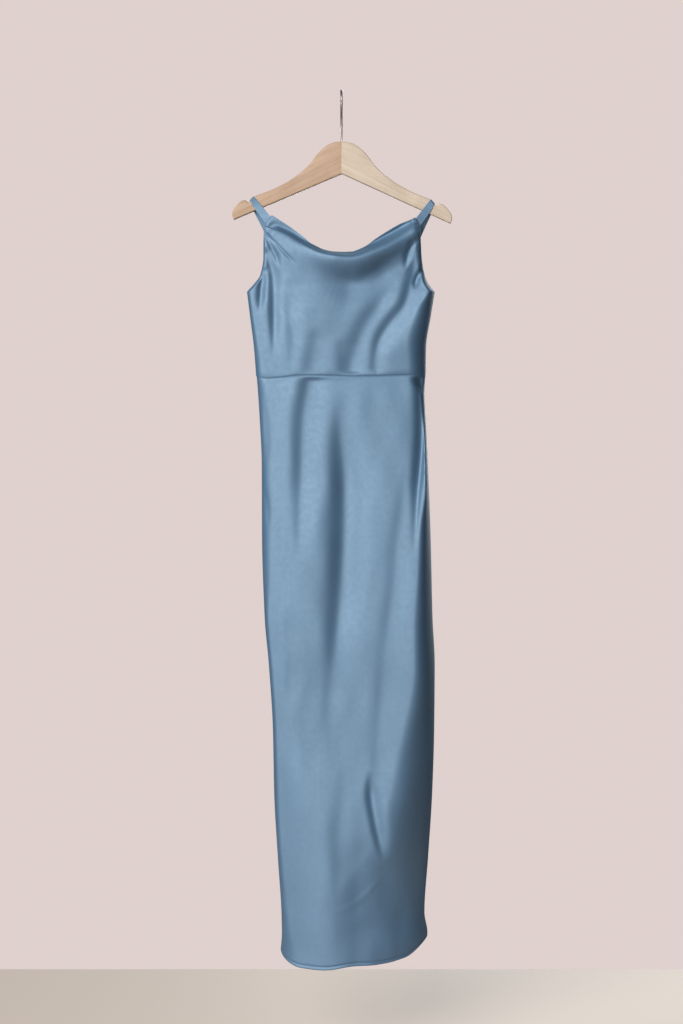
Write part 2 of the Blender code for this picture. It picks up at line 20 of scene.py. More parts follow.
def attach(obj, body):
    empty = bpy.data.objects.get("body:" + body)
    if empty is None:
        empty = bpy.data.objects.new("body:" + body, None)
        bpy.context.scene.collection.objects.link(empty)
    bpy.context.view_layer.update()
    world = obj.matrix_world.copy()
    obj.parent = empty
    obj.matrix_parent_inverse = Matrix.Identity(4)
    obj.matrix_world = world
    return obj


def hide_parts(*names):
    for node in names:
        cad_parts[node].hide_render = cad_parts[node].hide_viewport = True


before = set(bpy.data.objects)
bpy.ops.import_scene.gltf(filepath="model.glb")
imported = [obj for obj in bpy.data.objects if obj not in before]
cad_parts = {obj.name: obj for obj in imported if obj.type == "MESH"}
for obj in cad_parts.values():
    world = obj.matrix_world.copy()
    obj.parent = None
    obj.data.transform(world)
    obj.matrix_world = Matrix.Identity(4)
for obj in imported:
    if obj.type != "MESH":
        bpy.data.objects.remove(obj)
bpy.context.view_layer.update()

MM = 0.001
print("solids:", sorted(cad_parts))

# %% [markdown]
# # A camera that stands where the photographer stood
# The photograph is upright, 683 by 1024 pixels, taken level from waist height. A pixel at the dress
# is 1.62 mm. The lens follows from that and from the distance, and the camera's height from the
# row of the horizon. A tall object seen from its waist sits low in the frame: the view is shifted
# down instead of tilting the camera, so that the sides stay upright.

# %% Camera
FRAME_ROWS = 1024
PIXEL = 1.6216 * MM
CAMERA_AWAY = 2.6
HOOK_TOP_ROW = 92
HORIZON_ROW = 350
SENSOR = 36.0


def linked(name, data):
    """An object in the scene that shows this data."""
    made = bpy.data.objects.new(name, data)
    bpy.context.scene.collection.objects.link(made)
    return made


camera_data = bpy.data.cameras.new("camera")
camera_data.sensor_fit = "VERTICAL"
camera_data.sensor_height = SENSOR
camera_data.lens = SENSOR * CAMERA_AWAY / (FRAME_ROWS * PIXEL)
camera_data.shift_y = -(FRAME_ROWS / 2 - HORIZON_ROW) / FRAME_ROWS
camera = linked("camera", camera_data)
camera.location = (0, -CAMERA_AWAY, -(HORIZON_ROW - HOOK_TOP_ROW) * PIXEL)
camera.rotation_euler = (math.radians(90), 0, 0)
bpy.context.scene.camera = camera
print("lens", round(camera_data.lens, 1), "mm, height", round(camera.location.z, 3), "m")

# %% [markdown]
# # Helpers for nodes and meshes
# Every piece below ends as a mesh in the scene, and every finish is a small tree of nodes. Both
# take the same few lines each time, so these are written once. An input of a node gets either a
# value or a link, which one helper can tell apart, and that keeps the trees below short.

# %% Helpers


def feed(tree, node, inputs):
    """Gives each of a node's inputs a value or a link."""
    for key, value in inputs.items():
        if isinstance(value, bpy.types.NodeSocket):
            tree.links.new(value, node.inputs[key])
        else:
            node.inputs[key].default_value = value
    return node


def add(tree, kind, inputs=None, **settings):
    """A node of a kind, with its settings and its inputs."""
    made = tree.nodes.new(kind)
    for key, value in settings.items():
        setattr(made, key, value)
    return feed(tree, made, inputs or {})


def new_material(name, inputs=None):
    """A material, its tree and its shader, which gets these inputs."""
    made = bpy.data.materials.new(name)
    made.use_nodes = True
    shader = made.node_tree.nodes["Principled BSDF"]
    return made, made.node_tree, feed(made.node_tree, shader, inputs or {})


def placed(bm, name, finish, smooth=True):
    """Turns a bmesh into an object in the scene, with its finish."""
    mesh = bpy.data.meshes.new(name)
    bm.to_mesh(mesh)
    bm.free()
    if smooth:
        mesh.shade_smooth()
    mesh.materials.append(finish)
    return linked(name, mesh)


print("helpers for nodes, materials and meshes are ready")

# %% [markdown]
# # A pale studio
# A window on the left lights satin well: the cloth turned to it shines, the cloth turned away goes
# deep blue, and every fold shows. So the key is one wide, tall soft light on the left, as a window
# is. The room adds a weak, bluish light. The eye sees a paler backdrop than the one that lights the
# dress, or the folds would wash out. A second soft light stands behind, to light the back.

# %% Stage and lights
BACKDROP = (0.74, 0.635, 0.615, 1)
ROOM_LIGHT = (0.38, 0.7, 1.0, 1)
ROOM_STRENGTH = 0.085
FLOOR_COLOUR = (0.47, 0.40, 0.35, 1)
FLOOR_ROUGHNESS = 0.6
FLOOR_LEVEL = -1.55
FLOOR_BACK_EDGE = 0.33
FLOOR_WIDTH, FLOOR_LENGTH = 6.0, 2.6
DRESS_MIDDLE = (0, 0, -0.8)
DAYLIGHT = (1, 0.985, 0.96)
# place, width, height, watts
LIGHTS = {
    "window": ((-2.2, -3.55, 0.75), 4.0, 4.4, 446),
    "behind": ((1.2, 3.5, 0.5), 2.8, 3.4, 190),
}


def stage_floor():
    bm = bmesh.new()
    bmesh.ops.create_grid(bm, x_segments=1, y_segments=1, size=0.5)
    bmesh.ops.scale(bm, vec=(FLOOR_WIDTH, FLOOR_LENGTH, 1), verts=bm.verts)
    place = (0, FLOOR_BACK_EDGE - FLOOR_LENGTH / 2, FLOOR_LEVEL)
    bmesh.ops.translate(bm, vec=place, verts=bm.verts)
    inputs = {"Base Color": FLOOR_COLOUR, "Roughness": FLOOR_ROUGHNESS}
    floor = placed(bm, "floor", new_material("floor", inputs)[0], smooth=False)


def soft_light(name, place, width, height, watts):
    data = bpy.data.lights.new(name, "AREA")
    data.shape = "RECTANGLE"
    data.size, data.size_y = width, height
    data.energy = watts
    data.color = DAYLIGHT
    lamp = linked(name, data)
    lamp.location = place
    way = Vector(DRESS_MIDDLE) - Vector(place)
    lamp.rotation_euler = way.to_track_quat("-Z", "Y").to_euler()


def room():
    """A world that lights the dress weakly and that the camera sees as a paler backdrop."""
    world = bpy.data.worlds.new("room")
    world.use_nodes = True
    tree = world.node_tree
    dim = {"Color": ROOM_LIGHT, "Strength": ROOM_STRENGTH}
    lighting = feed(tree, tree.nodes["Background"], dim).outputs["Background"]
    seen = add(tree, "ShaderNodeBackground", {"Color": BACKDROP}).outputs["Background"]
    from_camera = add(tree, "ShaderNodeLightPath").outputs["Is Camera Ray"]
    mix = add(tree, "ShaderNodeMixShader", {"Fac": from_camera, 1: lighting, 2: seen})
    feed(tree, tree.nodes["World Output"], {"Surface": mix.outputs["Shader"]})
    bpy.context.scene.world = world


stage_floor()
room()
bpy.context.scene.view_settings.view_transform = "Standard"
for name, (place, width, height, watts) in LIGHTS.items():
    soft_light(name, place, width, height, watts)

# %% [markdown]
# # Smooth curves through short tables
# A pattern cutter writes a few widths down and draws a smooth line through them. The tables below
# do the same: a row for each place that was measured, and a curve through the rows that never
# overshoots them. The curve is the usual monotone cubic, worked out for a whole array at once.

# %% Curves


class Curve:
    """A smooth curve through rows of (place, value), with no overshoot."""

    def __init__(self, rows):
        rows = sorted(rows)
        self.places = np.array([row[0] for row in rows], float)
        self.values = np.array([row[1] for row in rows], float)
        steps = np.diff(self.values) / np.diff(self.places)
        slopes = [steps[0]]
        for before, after in zip(steps, steps[1:]):
            slopes.append(2 * before * after / (before + after) if before * after > 0 else 0.0)
        self.slopes = np.array([*slopes, steps[-1]])

    def __call__(self, place):
        place = np.clip(place, self.places[0], self.places[-1])
        i = np.clip(np.searchsorted(self.places, place, "right") - 1, 0, len(self.places) - 2)
        step = self.places[i + 1] - self.places[i]
        t = (place - self.places[i]) / step
        return (
            self.values[i] * (1 + 2 * t) * (1 - t) ** 2
            + self.slopes[i] * step * t * (1 - t) ** 2
            + self.values[i + 1] * t * t * (3 - 2 * t)
            - self.slopes[i + 1] * step * t * t * (1 - t)
        )


def column(table, index):
    """A curve through one column of a table, by its first."""
    return Curve([(row[0], row[index]) for row in table])


def run_of(line):
    """How far along a line of points each of them is."""
    return np.concatenate([[0], np.cumsum(np.linalg.norm(np.diff(line, axis=0), axis=1))])


def drawn_through(stations, steps):
    """Evenly spaced rows along the smooth curve through the stations' own rows of numbers."""
    stations = np.array(stations, float)
    run = run_of(stations[:, :3])
    at = np.linspace(0, run[-1], steps + 1)
    return np.stack([Curve(list(zip(run, values)))(at) for values in stations.T], axis=-1)


def mixed(a, b, share):
    return a + (b - a) * share


def eased(t):
    """0 to 1, flat at both ends."""
    t = np.clip(t, 0.0, 1.0)
    return t * t * (3 - 2 * t)


print("through (0, 0), (1, 4) and (2, 5), at 1.5:", Curve([(0, 0), (1, 4), (2, 5)])(1.5).round(2))

# %% [markdown]
# # The dress's outline
# All in millimetres, the same as the solids use. z is measured down from the hook's top, and left
# and right are the two sides as the dress is seen from the front. The photograph gives the sides,
# the cowl's edge, the waist and the front of the hem. The back's edges are guessed, to fit them.

# %% Outline
UNDERARM = -324.3
WAIST_LEVEL = -459.0
# z, left, right, how far the edge stands off the side seams' plane
FRONT_ARMHOLE = [
    (-201, -112.5, 116.5, 14),
    (-213, -121, 123, 14),
    (-230, -125.5, 127, 13.5),
    (-270, -126, 129.5, 12),
    (-298, -131.5, 134.5, 8),
    (-310, -140, 139.5, 4.5),
    (UNDERARM, -153.2, 151.6, 0),
]
BACK_ARMHOLE = [
    (-249, -114, 122, 13),
    (-270, -120, 125.5, 12.5),
    (-290, -127, 128.5, 10),
    (-310, -139, 138.5, 5),
    (UNDERARM, -153.2, 151.6, 0),
]
# z, left, right
BODICE_SIDES = [
    (UNDERARM, -153.2, 151.6),
    (-363, -148.4, 145.1),
    (-415, -141.9, 137.2),
    (-466, -138, 136.6),
]
SKIRT_SIDES = [
    (-455, -138, 136.6),
    (-487, -135.4, 134.6),
    (-538, -132.2, 137.0),
    (-600, -129.4, 140.0),
    (-720, -128.9, 144.6),
    (-850, -124.5, 147.6),
    (-928, -117.6, 151.2),
    (-1031, -111.1, 150.4),
    (-1135, -109.0, 147.2),
    (-1239, -103.0, 140.6),
    (-1330, -97.2, 134.6),
    (-1362, -96.6, 139.4),
    (-1398, -99.4, 134.0),
]
# share of the width from the left, z
COWL_EDGE = [
    (0, -201),
    (0.075, -208.5),
    (0.13, -215.5),
    (0.2, -226.5),
    (0.255, -236.5),
    (0.293, -245.5),
    (0.335, -251.5),
    (0.38, -257),
    (0.44, -260.6),
    (0.5, -261.2),
    (0.56, -260.6),
    (0.6, -257.2),
    (0.64, -252.3),
    (0.71, -240.2),
    (0.8, -226.5),
    (0.88, -216),
    (0.94, -210.5),
    (1, -204.5),
]
BACK_SCOOP = [(0, -249), (0.2, -262), (0.5, -274), (0.8, -263), (1, -251)]
# x, z
WAIST = [
    (-140, -460.5),
    (-120, -464),
    (-94, -462),
    (-65, -459),
    (28, -460),
    (89, -459),
    (137, -456.5),
]
# share of the width, front, back
HEM = [
    (0, -1388, -1388),
    (0.15, -1395, -1388),
    (0.3, -1394, -1386),
    (0.5, -1388, -1382),
    (0.7, -1388.5, -1379),
    (0.85, -1386, -1374),
    (1, -1368, -1368),
]
waist_line = Curve(WAIST)
print("widths: underarm", BODICE_SIDES[0][2] - BODICE_SIDES[0][1], "mm, hem",
      SKIRT_SIDES[-1][2] - SKIRT_SIDES[-1][1], "mm")

# %% [markdown]
# # How far the cloth stands out
# Depth is how far a panel stands in front of the side seams' plane, or behind it, once it has
# turned away from the seam. A turn has a width, over which the cloth comes round, and the right one
# has a roundness too: the lower that is, the sooner the cloth has turned. A photograph from the
# front shows little of this, apart from how dark each side gets and how the hem's curve hangs.

# %% Depths
# z, left depth, right depth, left turn, right turn, right roundness
BODICE_FRONT_DEPTHS = [
    (-200, 20, 20, 7, 30, 0.6),
    (-235, 25, 21, 7, 14, 0.6),
    (-262, 30, 23, 7, 10, 0.6),
    (-310, 31, 27, 7, 10, 0.6),
    (-330, 32, 33, 7, 16, 0.6),
    (-352, 32, 37, 7, 28, 0.6),
    (-400, 32, 37, 8, 34, 0.6),
    (-450, 32, 33, 12, 30, 0.6),
    (-466, 32, 33, 12, 30, 0.6),
]
BODICE_BACK_DEPTHS = [
    (-245, 15, 15, 20, 40, 0.6),
    (-300, 16, 16, 20, 40, 0.6),
    (-330, 17, 17, 20, 34, 0.6),
    (-466, 17, 17, 20, 34, 0.6),
]
SKIRT_FRONT_DEPTHS = [
    (-455, 32, 33, 12, 30, 0.6),
    (-463, 32, 33, 12, 30, 0.6),
    (-492, 34, 37, 17, 8, 0.6),
    (-555, 37, 43, 17, 7, 0.6),
    (-640, 40, 52, 17, 9, 0.6),
    (-700, 43, 57, 16, 20, 0.6),
    (-775, 46, 61, 14, 26, 0.6),
    (-850, 50, 66, 7, 34, 0.6),
    (-928, 54, 71, 7, 38, 0.6),
    (-1039, 59, 75, 7, 60, 0.65),
    (-1135, 62, 81, 8, 78, 0.7),
    (-1200, 65, 86, 8, 98, 0.75),
    (-1290, 70, 96, 10, 150, 0.8),
    (-1335, 74, 96, 13, 150, 0.7),
    (-1398, 78, 94, 26, 150, 0.6),
]
SKIRT_BACK_DEPTHS = [
    (-455, 17, 17, 20, 34, 0.6),
    (-538, 20, 20, 20, 38, 0.6),
    (-720, 28, 27, 24, 48, 0.6),
    (-928, 38, 35, 28, 60, 0.6),
    (-1135, 48, 44, 32, 76, 0.6),
    (-1398, 66, 60, 36, 96, 0.6),
]
print("depth at the hem, left and right: front", SKIRT_FRONT_DEPTHS[-1][1:3], "back",
      SKIRT_BACK_DEPTHS[-1][1:3])

# %% [markdown]
# Creases placed one by one
# A crease in hung satin is a soft trough beside a soft ridge. Each one below has a path of a few
# points (x, z), how wide its left and right flanks are when you walk along the path, how deep it
# sets the cloth back (a ridge has a depth below 0), and how much of that is left at its two ends.
# A cloth simulation would make folds of its own. These have to lie where the photograph has them.

# %% How a crease presses
CREASE_STEPS = 24
CREASE_FADES = 0.35  # each end's own share of the path
CREASE_TAPER = 0.6  # a faded end is narrower, by this


def crease_path(points):
    """Points along the smooth curve that passes through a crease's own points."""
    points = np.array(points, float)
    first, last = 2 * points[0] - points[1], 2 * points[-1] - points[-2]
    around = np.vstack([first, points, last])
    stretches = len(points) - 1
    path = []
    for s in np.linspace(0, stretches, CREASE_STEPS + 1):
        i = min(int(s), stretches - 1)
        t = s - i
        a, b, c, d = around[i : i + 4]
        curved = (2 * a - 5 * b + 4 * c - d) * t * t
        path.append(0.5 * (2 * b + (c - a) * t + curved + (3 * b - a - 3 * c + d) * t**3))
    return np.array(path)


def nearest_on(path, x, z):
    """Each place's distance to the path, over 0 on its left, and how far along the path that is."""
    best = np.full(x.shape, np.inf)
    side = np.ones(x.shape)
    along = np.zeros(x.shape)
    for i, (start, end) in enumerate(zip(path, path[1:])):
        run = end - start
        dx, dz = x - start[0], z - start[1]
        t = np.clip((dx * run[0] + dz * run[1]) / (run @ run), 0, 1)
        distance = np.hypot(dx - run[0] * t, dz - run[1] * t)
        closer = distance < best
        best = np.where(closer, distance, best)
        side = np.where(closer, np.sign(run[0] * dz - run[1] * dx), side)
        along = np.where(closer, (i + t) / CREASE_STEPS, along)
    return best, side, along


def pressed(creases, x, z):
    """How far the creases together set the cloth back at each place."""
    total = np.zeros(x.shape)
    for points, left, right, depth, head, tail in creases.values():
        distance, side, along = nearest_on(crease_path(points), x, z)
        strength = mixed(head, 1, eased(along / CREASE_FADES))
        strength = strength * mixed(tail, 1, eased((1 - along) / CREASE_FADES))
        width = np.where(side > 0, left, right) * mixed(CREASE_TAPER, 1, strength)
        total += depth * strength * np.exp(-((distance / width) ** 2))
    return total


print("a crease's path is drawn in", CREASE_STEPS, "steps and fades over", CREASE_FADES, "of it")

# %% [markdown]
# # The creases of this dress
# Each was read off the photograph: where the shadow starts and ends gives its path, how soft it is
# gives the width of its flanks, and how dark it is gives its depth. The cowl is a ridge with a
# hollow below it, drapes run from the armholes and the waist, long folds fall down the skirt, and
# small ones lie at the shin and the hem. The back is guessed: a few long flutes like the front's.

# %% Creases
# Walking down a path, its left flank is the one at +x. Walking to +x, it is the upper one.
# path, left flank, right flank, depth, head, tail
BODICE_FRONT_CREASES = {
    "cowl roll": (
        ((-104, -227), (-82, -238), (-60, -252), (-36, -264), (-8, -270), (20, -270), (46, -261),
         (84, -243), (118, -221)),
        8, 32, -12, 0.5, 0.5),
    "cowl roll, full part": (
        ((-66, -249), (-36, -265), (-8, -271), (20, -273), (46, -266), (84, -249), (118, -229)),
        12, 21, -15, 0, 0.45),
    "hollow under the roll": (
        ((-46, -283), (-14, -301), (8, -308), (27, -309), (48, -299), (68, -286), (84, -273),
         (98, -262)),
        15, 34, 8, 0, 0.25),
    "valley in the cowl, left": (
        ((-122, -228), (-108, -218), (-84, -227), (-64, -241), (-40, -256)), 6, 7, 4, 0.8, 0),
    "valley in the cowl, right": (
        ((18, -260), (45, -249), (75, -232), (98, -219), (112, -212)), 5, 6, 6, 0, 0.4),
    "right corner crease": (
        ((127, -238), (116, -245), (109, -258), (105, -274), (101, -290)), 5, 6, 4.5, 0.6, 0),
    "long right drape": (
        ((119, -262), (118, -278), (116, -298), (110, -323), (101, -348), (81, -373), (64, -399),
         (57, -420), (54, -446)),
        18, 11.5, 8.5, 0, 0.3),
    "right armhole tuck": (((131, -286), (122, -303), (117, -322)), 5, 4.5, 5, 0.9, 0),
    "short right drape": (
        ((96, -303), (80, -323), (62, -348), (43, -374), (31, -399), (22, -425), (16, -453)),
        20, 16, 5.4, 0.3, 0.9),
    "left corner crease": (
        ((-121, -232), (-104, -249), (-86, -268), (-70, -284)), 2.4, 2.2, 2.2, 0.9, 0),
    "second corner crease": (
        ((-121, -236), (-113, -252), (-105, -268), (-97, -290)), 5, 4, 4, 1, 0),
    "left side drape": (
        ((-119, -264), (-112, -290), (-109, -312), (-108, -345), (-108, -390), (-109, -440)),
        12, 8, 7.5, 0.6, 0),
    "left underarm fold": (((-124, -292), (-129, -318), (-132, -362)), 7, 6, 6.5, 0.5, 0),
    "left inner drape": (
        ((-94, -306), (-86, -350), (-76, -395), (-80, -446)), 16, 12, 3.4, 0, 0.2),
    "left chest spot": (((-90, -300), (-80, -334), (-74, -375)), 18, 14, 2, 0, 0),
    "left waist drape": (
        ((-38, -376), (-40, -404), (-46, -432), (-54, -462)), 20, 16, 3.4, 0, 0.6),
    "middle waist drape": (((0, -395), (4, -425), (4, -460)), 16, 12, 2, 0, 0.4),
}
BODICE_BACK_CREASES = {
    "left shoulder drape": (((-104, -262), (-78, -330), (-62, -450)), 15, 15, 3.5, 0.4, 0.3),
    "right shoulder drape": (((108, -264), (84, -334), (66, -446)), 14, 14, 4, 0.4, 0.2),
    "middle drape": (((-8, -290), (2, -360), (-4, -452)), 18, 18, 2.5, 0, 0.5),
}
SKIRT_FRONT_CREASES = {
    "left waist fold": (
        ((-50, -461), (-58, -513), (-62, -577), (-63, -650), (-68, -790)), 26, 16, 9.5, 0.7, 0),
    "long middle fold": (
        ((-4, -480), (0, -560), (6, -640), (5, -720), (0, -800), (-9, -900), (-26, -1050)),
        30, 18, 11.5, 0, 0),
    "wide middle fold": (
        ((-4, -465), (8, -600), (8, -760), (-6, -940), (-30, -1160)), 75, 34, 5, 0.2, 0),
    "right waist fold": (
        ((127, -464), (129, -510), (129, -561), (125, -615), (121, -657), (114, -760)),
        5, 10, 10, 0.9, 0),
    "right hip drape": (
        ((112, -560), (100, -657), (86, -785), (70, -913), (60, -1039), (52, -1130)),
        26, 14, 3.2, 0, 0.2),
    "left knee drape": (((-28, -850), (-44, -960), (-42, -1039), (-30, -1180)), 34, 34, 5, 0, 0),
    "left thigh drape": (((-86, -820), (-78, -900), (-84, -1000)), 18, 12, 3, 0, 0),
    "wide knee hollow": (((0, -860), (8, -970), (12, -1060), (0, -1160)), 80, 60, 6, 0, 0),
    "middle knee fold": (((4, -1060), (2, -1130), (-3, -1210), (-8, -1290)), 16, 14, 2.2, 0, 0),
    "short shin crease": (((46, -1080), (47, -1125), (57, -1180), (68, -1232)), 13, 7, 7.5, 0, 0),
    "broad shin valley": (((46, -1170), (36, -1240), (26, -1320), (18, -1400)), 70, 34, 8, 0, 0.2),
    "calf ridge": (((-20, -1306), (18, -1292), (44, -1272), (84, -1226)), 4, 6, -0.7, 0, 0),
    "right hem fold": (((102, -1290), (96, -1340), (92, -1385)), 18, 14, 3, 0, 0.7),
    "middle hem fold": (((30, -1310), (29, -1350), (28, -1394)), 26, 17, 2.2, 0, 0.9),
    "left side pucker": (((-127, -640), (-120, -668), (-118, -710)), 5, 5, 2.2, 0.8, 0),
    "left side drape": (((-124, -500), (-121, -560), (-122, -610)), 7, 5, 2.2, 0.2, 0),
}
SKIRT_BACK_CREASES = {
    "left back flute": (((-72, -462), (-66, -900), (-62, -1390)), 19, 19, 8, 0.5, 1),
    "middle back flute": (((8, -462), (16, -880), (20, -1388)), 21, 21, 9, 0.3, 1),
    "right back flute": (((84, -462), (92, -900), (94, -1384)), 18, 18, 7.5, 0.5, 1),
    "left hip drape": (((-104, -560), (-96, -700), (-98, -880)), 12, 12, 3.5, 0, 0),
    "right hip drape": (((120, -600), (126, -760), (120, -960)), 11, 11, 3.5, 0, 0),
}
print("creases: bodice", len(BODICE_FRONT_CREASES), "and", len(BODICE_BACK_CREASES),
      "skirt", len(SKIRT_FRONT_CREASES), "and", len(SKIRT_BACK_CREASES))

# %% [markdown]
# # How the cloth turns, is drawn in and waves
# At its sides a panel turns towards its seam. On the right a quarter of a sine curve is enough. The
# left side turns tightly at the seam and then slowly, which gives the narrow dark edge there. The
# waist seam draws both panels in. And hung satin is never quite smooth: long soft waves lie over
# each panel, with a slant and a start that are drawn at random, from a seed, so they never change.

# %% Turns, waist and waves
WAIST_DRAWN_IN, WAIST_REACH = 1.2, 6.0  # the seam draws the cloth in, softly
SEAM_GROOVE, SEAM_GROOVE_REACH = 1.4, 1.5  # and closes in a narrow groove
WAIST_HOLDS = 10.0  # folds fade out this far from the seam, so that both panels meet there
LEFT_SLOW_TURN = 90.0  # the slow part of the left turn is this wide
LEFT_TIGHT_SHARE = 0.62  # the tight part makes up this much of it
LEFT_TIGHT_REACH, LEFT_TIGHT_POWER = 1.4, 3  # its width in the table's widths, and how tight it is
# wide, tall, high
WAVES = [(115, 640, 0.8), (83, 410, 0.6), (61, 330, 0.4), (47, 260, 0.25), (38, 190, 0.16)]
WAVE_SLANT = 0.25
BODICE_WAVES = 0.6  # the bodice's waves are lower than the skirt's, by this


def drawn_in(from_seam):
    """How far the waist seam draws the cloth in, by the distance from it."""
    soft = WAIST_DRAWN_IN * np.exp(-((from_seam / WAIST_REACH) ** 2))
    return soft + SEAM_GROOVE * np.exp(-((from_seam / SEAM_GROOVE_REACH) ** 2))


def turned(from_edge, width, roundness=1.0):
    """0 at a panel's edge, 1 once the cloth has turned, which is sooner with less roundness."""
    return np.sin(np.pi / 2 * np.clip(from_edge / width, 0, 1)) ** roundness


def turned_left(from_edge, width):
    """The left turn: round and tight at the seam, then a slow turn over a wider stretch."""
    near = np.clip(from_edge / (LEFT_TIGHT_REACH * width), 0, 1)
    tight = np.sqrt(1 - (1 - near) ** LEFT_TIGHT_POWER)
    return mixed(turned(from_edge, LEFT_SLOW_TURN), tight, LEFT_TIGHT_SHARE)


def unevenness(x, z, seed):
    """Long soft waves, mostly upright, each under a millimetre high and about two together."""
    rng = np.random.default_rng(seed)
    total = np.zeros(x.shape)
    for wide, tall, height in WAVES:
        slant = rng.uniform(-WAVE_SLANT, WAVE_SLANT)
        phase = rng.uniform(0, 2 * np.pi, 2)
        across = np.sin(2 * np.pi * (x + slant * z) / wide + phase[0])
        total += height * across * np.sin(2 * np.pi * z / tall + phase[1])
    return total


def set_back(creases, x, z, from_waist, waves=1.0):
    """How far creases and waves set the cloth back, fading out at the waist."""
    whole = pressed(creases, x, z) + waves * unevenness(x, z, len(creases))
    return whole * eased(from_waist / WAIST_HOLDS)


print("a turn 20 mm wide, after 0, 10 and 20 mm:", turned(np.array([0, 10, 20]), 20).round(2))

# %% [markdown]
# # Where each panel lies
# A panel is a flat grid of cells, and each of its points goes to a place that is worked out from
# the tables: its share across, its row down, the outline there, how far the cloth stands out, less
# the creases. Cells are closer together at the sides, where the cloth turns, and rows are closer
# together at the waist and the hem, where it is drawn in or rolled.

# %% Places of the panels
FRONT, BACK = -1, 1
FOLD_FADE = 1.2  # near the side seams folds fade with the turn, from a turn of 1 / this
EDGE_HOLDS_FOLDS = 10.0  # an armhole's edge that stands out this far keeps its folds
# rows next to a seam or the hem, and their share of the height
SKIRT_WAIST_ROWS, SKIRT_WAIST_SHARE = 8, 0.0085
HEM_ROWS, HEM_ROWS_SHARE = 12, 0.014
BODICE_WAIST_ROWS, BODICE_WAIST_SHARE = 8, 0.06


def shares(cells):
    """Each point's share of the width, closer together at the sides, and its row, as two arrays."""
    across, down = cells
    angle = np.pi * np.arange(across + 1) / across
    return np.meshgrid((1 - np.cos(angle)) / 2, np.arange(down + 1.0), indexing="ij")


def section(depths, x, z, left, right):
    """How far the plain panel stands out, and the share that its turned sides leave of that."""
    share = (x - left) / (right - left)
    depth = mixed(column(depths, 1)(z), column(depths, 2)(z), share)
    from_left = turned_left(x - left, column(depths, 3)(z))
    from_right = turned(right - x, column(depths, 4)(z), column(depths, 5)(z))
    return depth, from_left * from_right


def skirt_places(cells, side, depths, creases):
    """A skirt panel's points, by column and row."""
    left, right = column(SKIRT_SIDES, 1), column(SKIRT_SIDES, 2)
    hem = column(HEM, 1 if side == FRONT else 2)
    across, row = shares(cells)
    top = waist_line(mixed(left(WAIST_LEVEL), right(WAIST_LEVEL), across))
    down = np.interp(row, (0, SKIRT_WAIST_ROWS, cells[1] - HEM_ROWS, cells[1]),
                     (0, SKIRT_WAIST_SHARE, 1 - HEM_ROWS_SHARE, 1))
    z = mixed(top, hem(across), down)
    x = mixed(left(z), right(z), across)
    depth, bulge = section(depths, x, z, left(z), right(z))
    standing = (depth - drawn_in(top - z)) * bulge
    standing -= set_back(creases, x, z, top - z) * np.minimum(1, FOLD_FADE * bulge)
    return np.stack([x, side * np.maximum(standing, 0), z], axis=-1)


def bodice_places(cells, upper_rows, side, armhole, neck, depths, creases):
    """A bodice panel's points, by column and row. Its upper rows end at the underarm."""
    neck = Curve(neck)
    side_left, side_right = column(BODICE_SIDES, 1), column(BODICE_SIDES, 2)
    arm_left, arm_right, arm_edge = (column(armhole, i) for i in (1, 2, 3))
    across, row = shares(cells)
    underarm_share = []
    for end, side_seam in ((0, side_left), (1, side_right)):
        bottom = waist_line(side_seam(WAIST_LEVEL))
        underarm_share.append((neck(end) - UNDERARM) / (neck(end) - bottom))
    knee = mixed(underarm_share[0], underarm_share[1], across)
    lower = np.interp(row, (upper_rows, cells[1] - BODICE_WAIST_ROWS, cells[1]),
                      (0, 1 - BODICE_WAIST_SHARE, 1))
    below = mixed(knee, 1, lower)
    down = np.where(row <= upper_rows, knee * row / upper_rows, below)
    bottom = waist_line(mixed(side_left(WAIST_LEVEL), side_right(WAIST_LEVEL), across))
    z = mixed(neck(across), bottom, down)
    above = z > UNDERARM
    left = np.where(above, arm_left(z), side_left(z))
    right = np.where(above, arm_right(z), side_right(z))
    x = mixed(left, right, across)
    edge = np.where(above, arm_edge(z), 0)
    depth, bulge = section(depths, x, z, left, right)
    standing = mixed(edge, depth, bulge) - drawn_in(z - bottom) * bulge
    held = np.minimum(1, edge / EDGE_HOLDS_FOLDS + FOLD_FADE * bulge)
    standing -= set_back(creases, x, z, z - bottom, BODICE_WAVES) * held
    return np.stack([x, side * np.maximum(standing, 0), z], axis=-1)


print("shares of the width, four cells wide:", shares((4, 1))[0][:, 0].round(2))

# %% [markdown]
# # From places to cloth
# The grid comes from create_grid and is bent to its places. Its UV map is in metres along the
# cloth, so that a weave drawn on it has one scale everywhere. Solidify gives the cloth its
# thickness, towards the inside. Satin frays, so an open edge is turned in and stitched: there the
# wall is thicker, which a vertex group says, and it stands a hair proud.

# %% Cloth
CLOTH = 0.6 * MM
TURNED_EDGE = 1.8 * MM
TURNED_BAND = 3.2  # how far the turned edge reaches in
BAND_STEP = 0.35  # the band's inner end is a soft step, this share of it wide
TURNED_PROUD = 0.45
RIM_ROUNDING, RIM_ANGLE = 0.22 * MM, math.radians(60)


def run_lengths(places, axis):
    """How far along the cloth each point is, from the first row or column."""
    steps = np.linalg.norm(np.diff(places, axis=axis), axis=-1)
    pad = [(0, 0), (0, 0)]
    pad[axis] = (1, 0)
    return np.pad(np.cumsum(steps, axis=axis), pad)


def band(from_edge):
    """1 on an edge's turned band, 0 off it, with a soft step between."""
    return 1 - eased((from_edge - TURNED_BAND) / (BAND_STEP * TURNED_BAND) + 0.5)


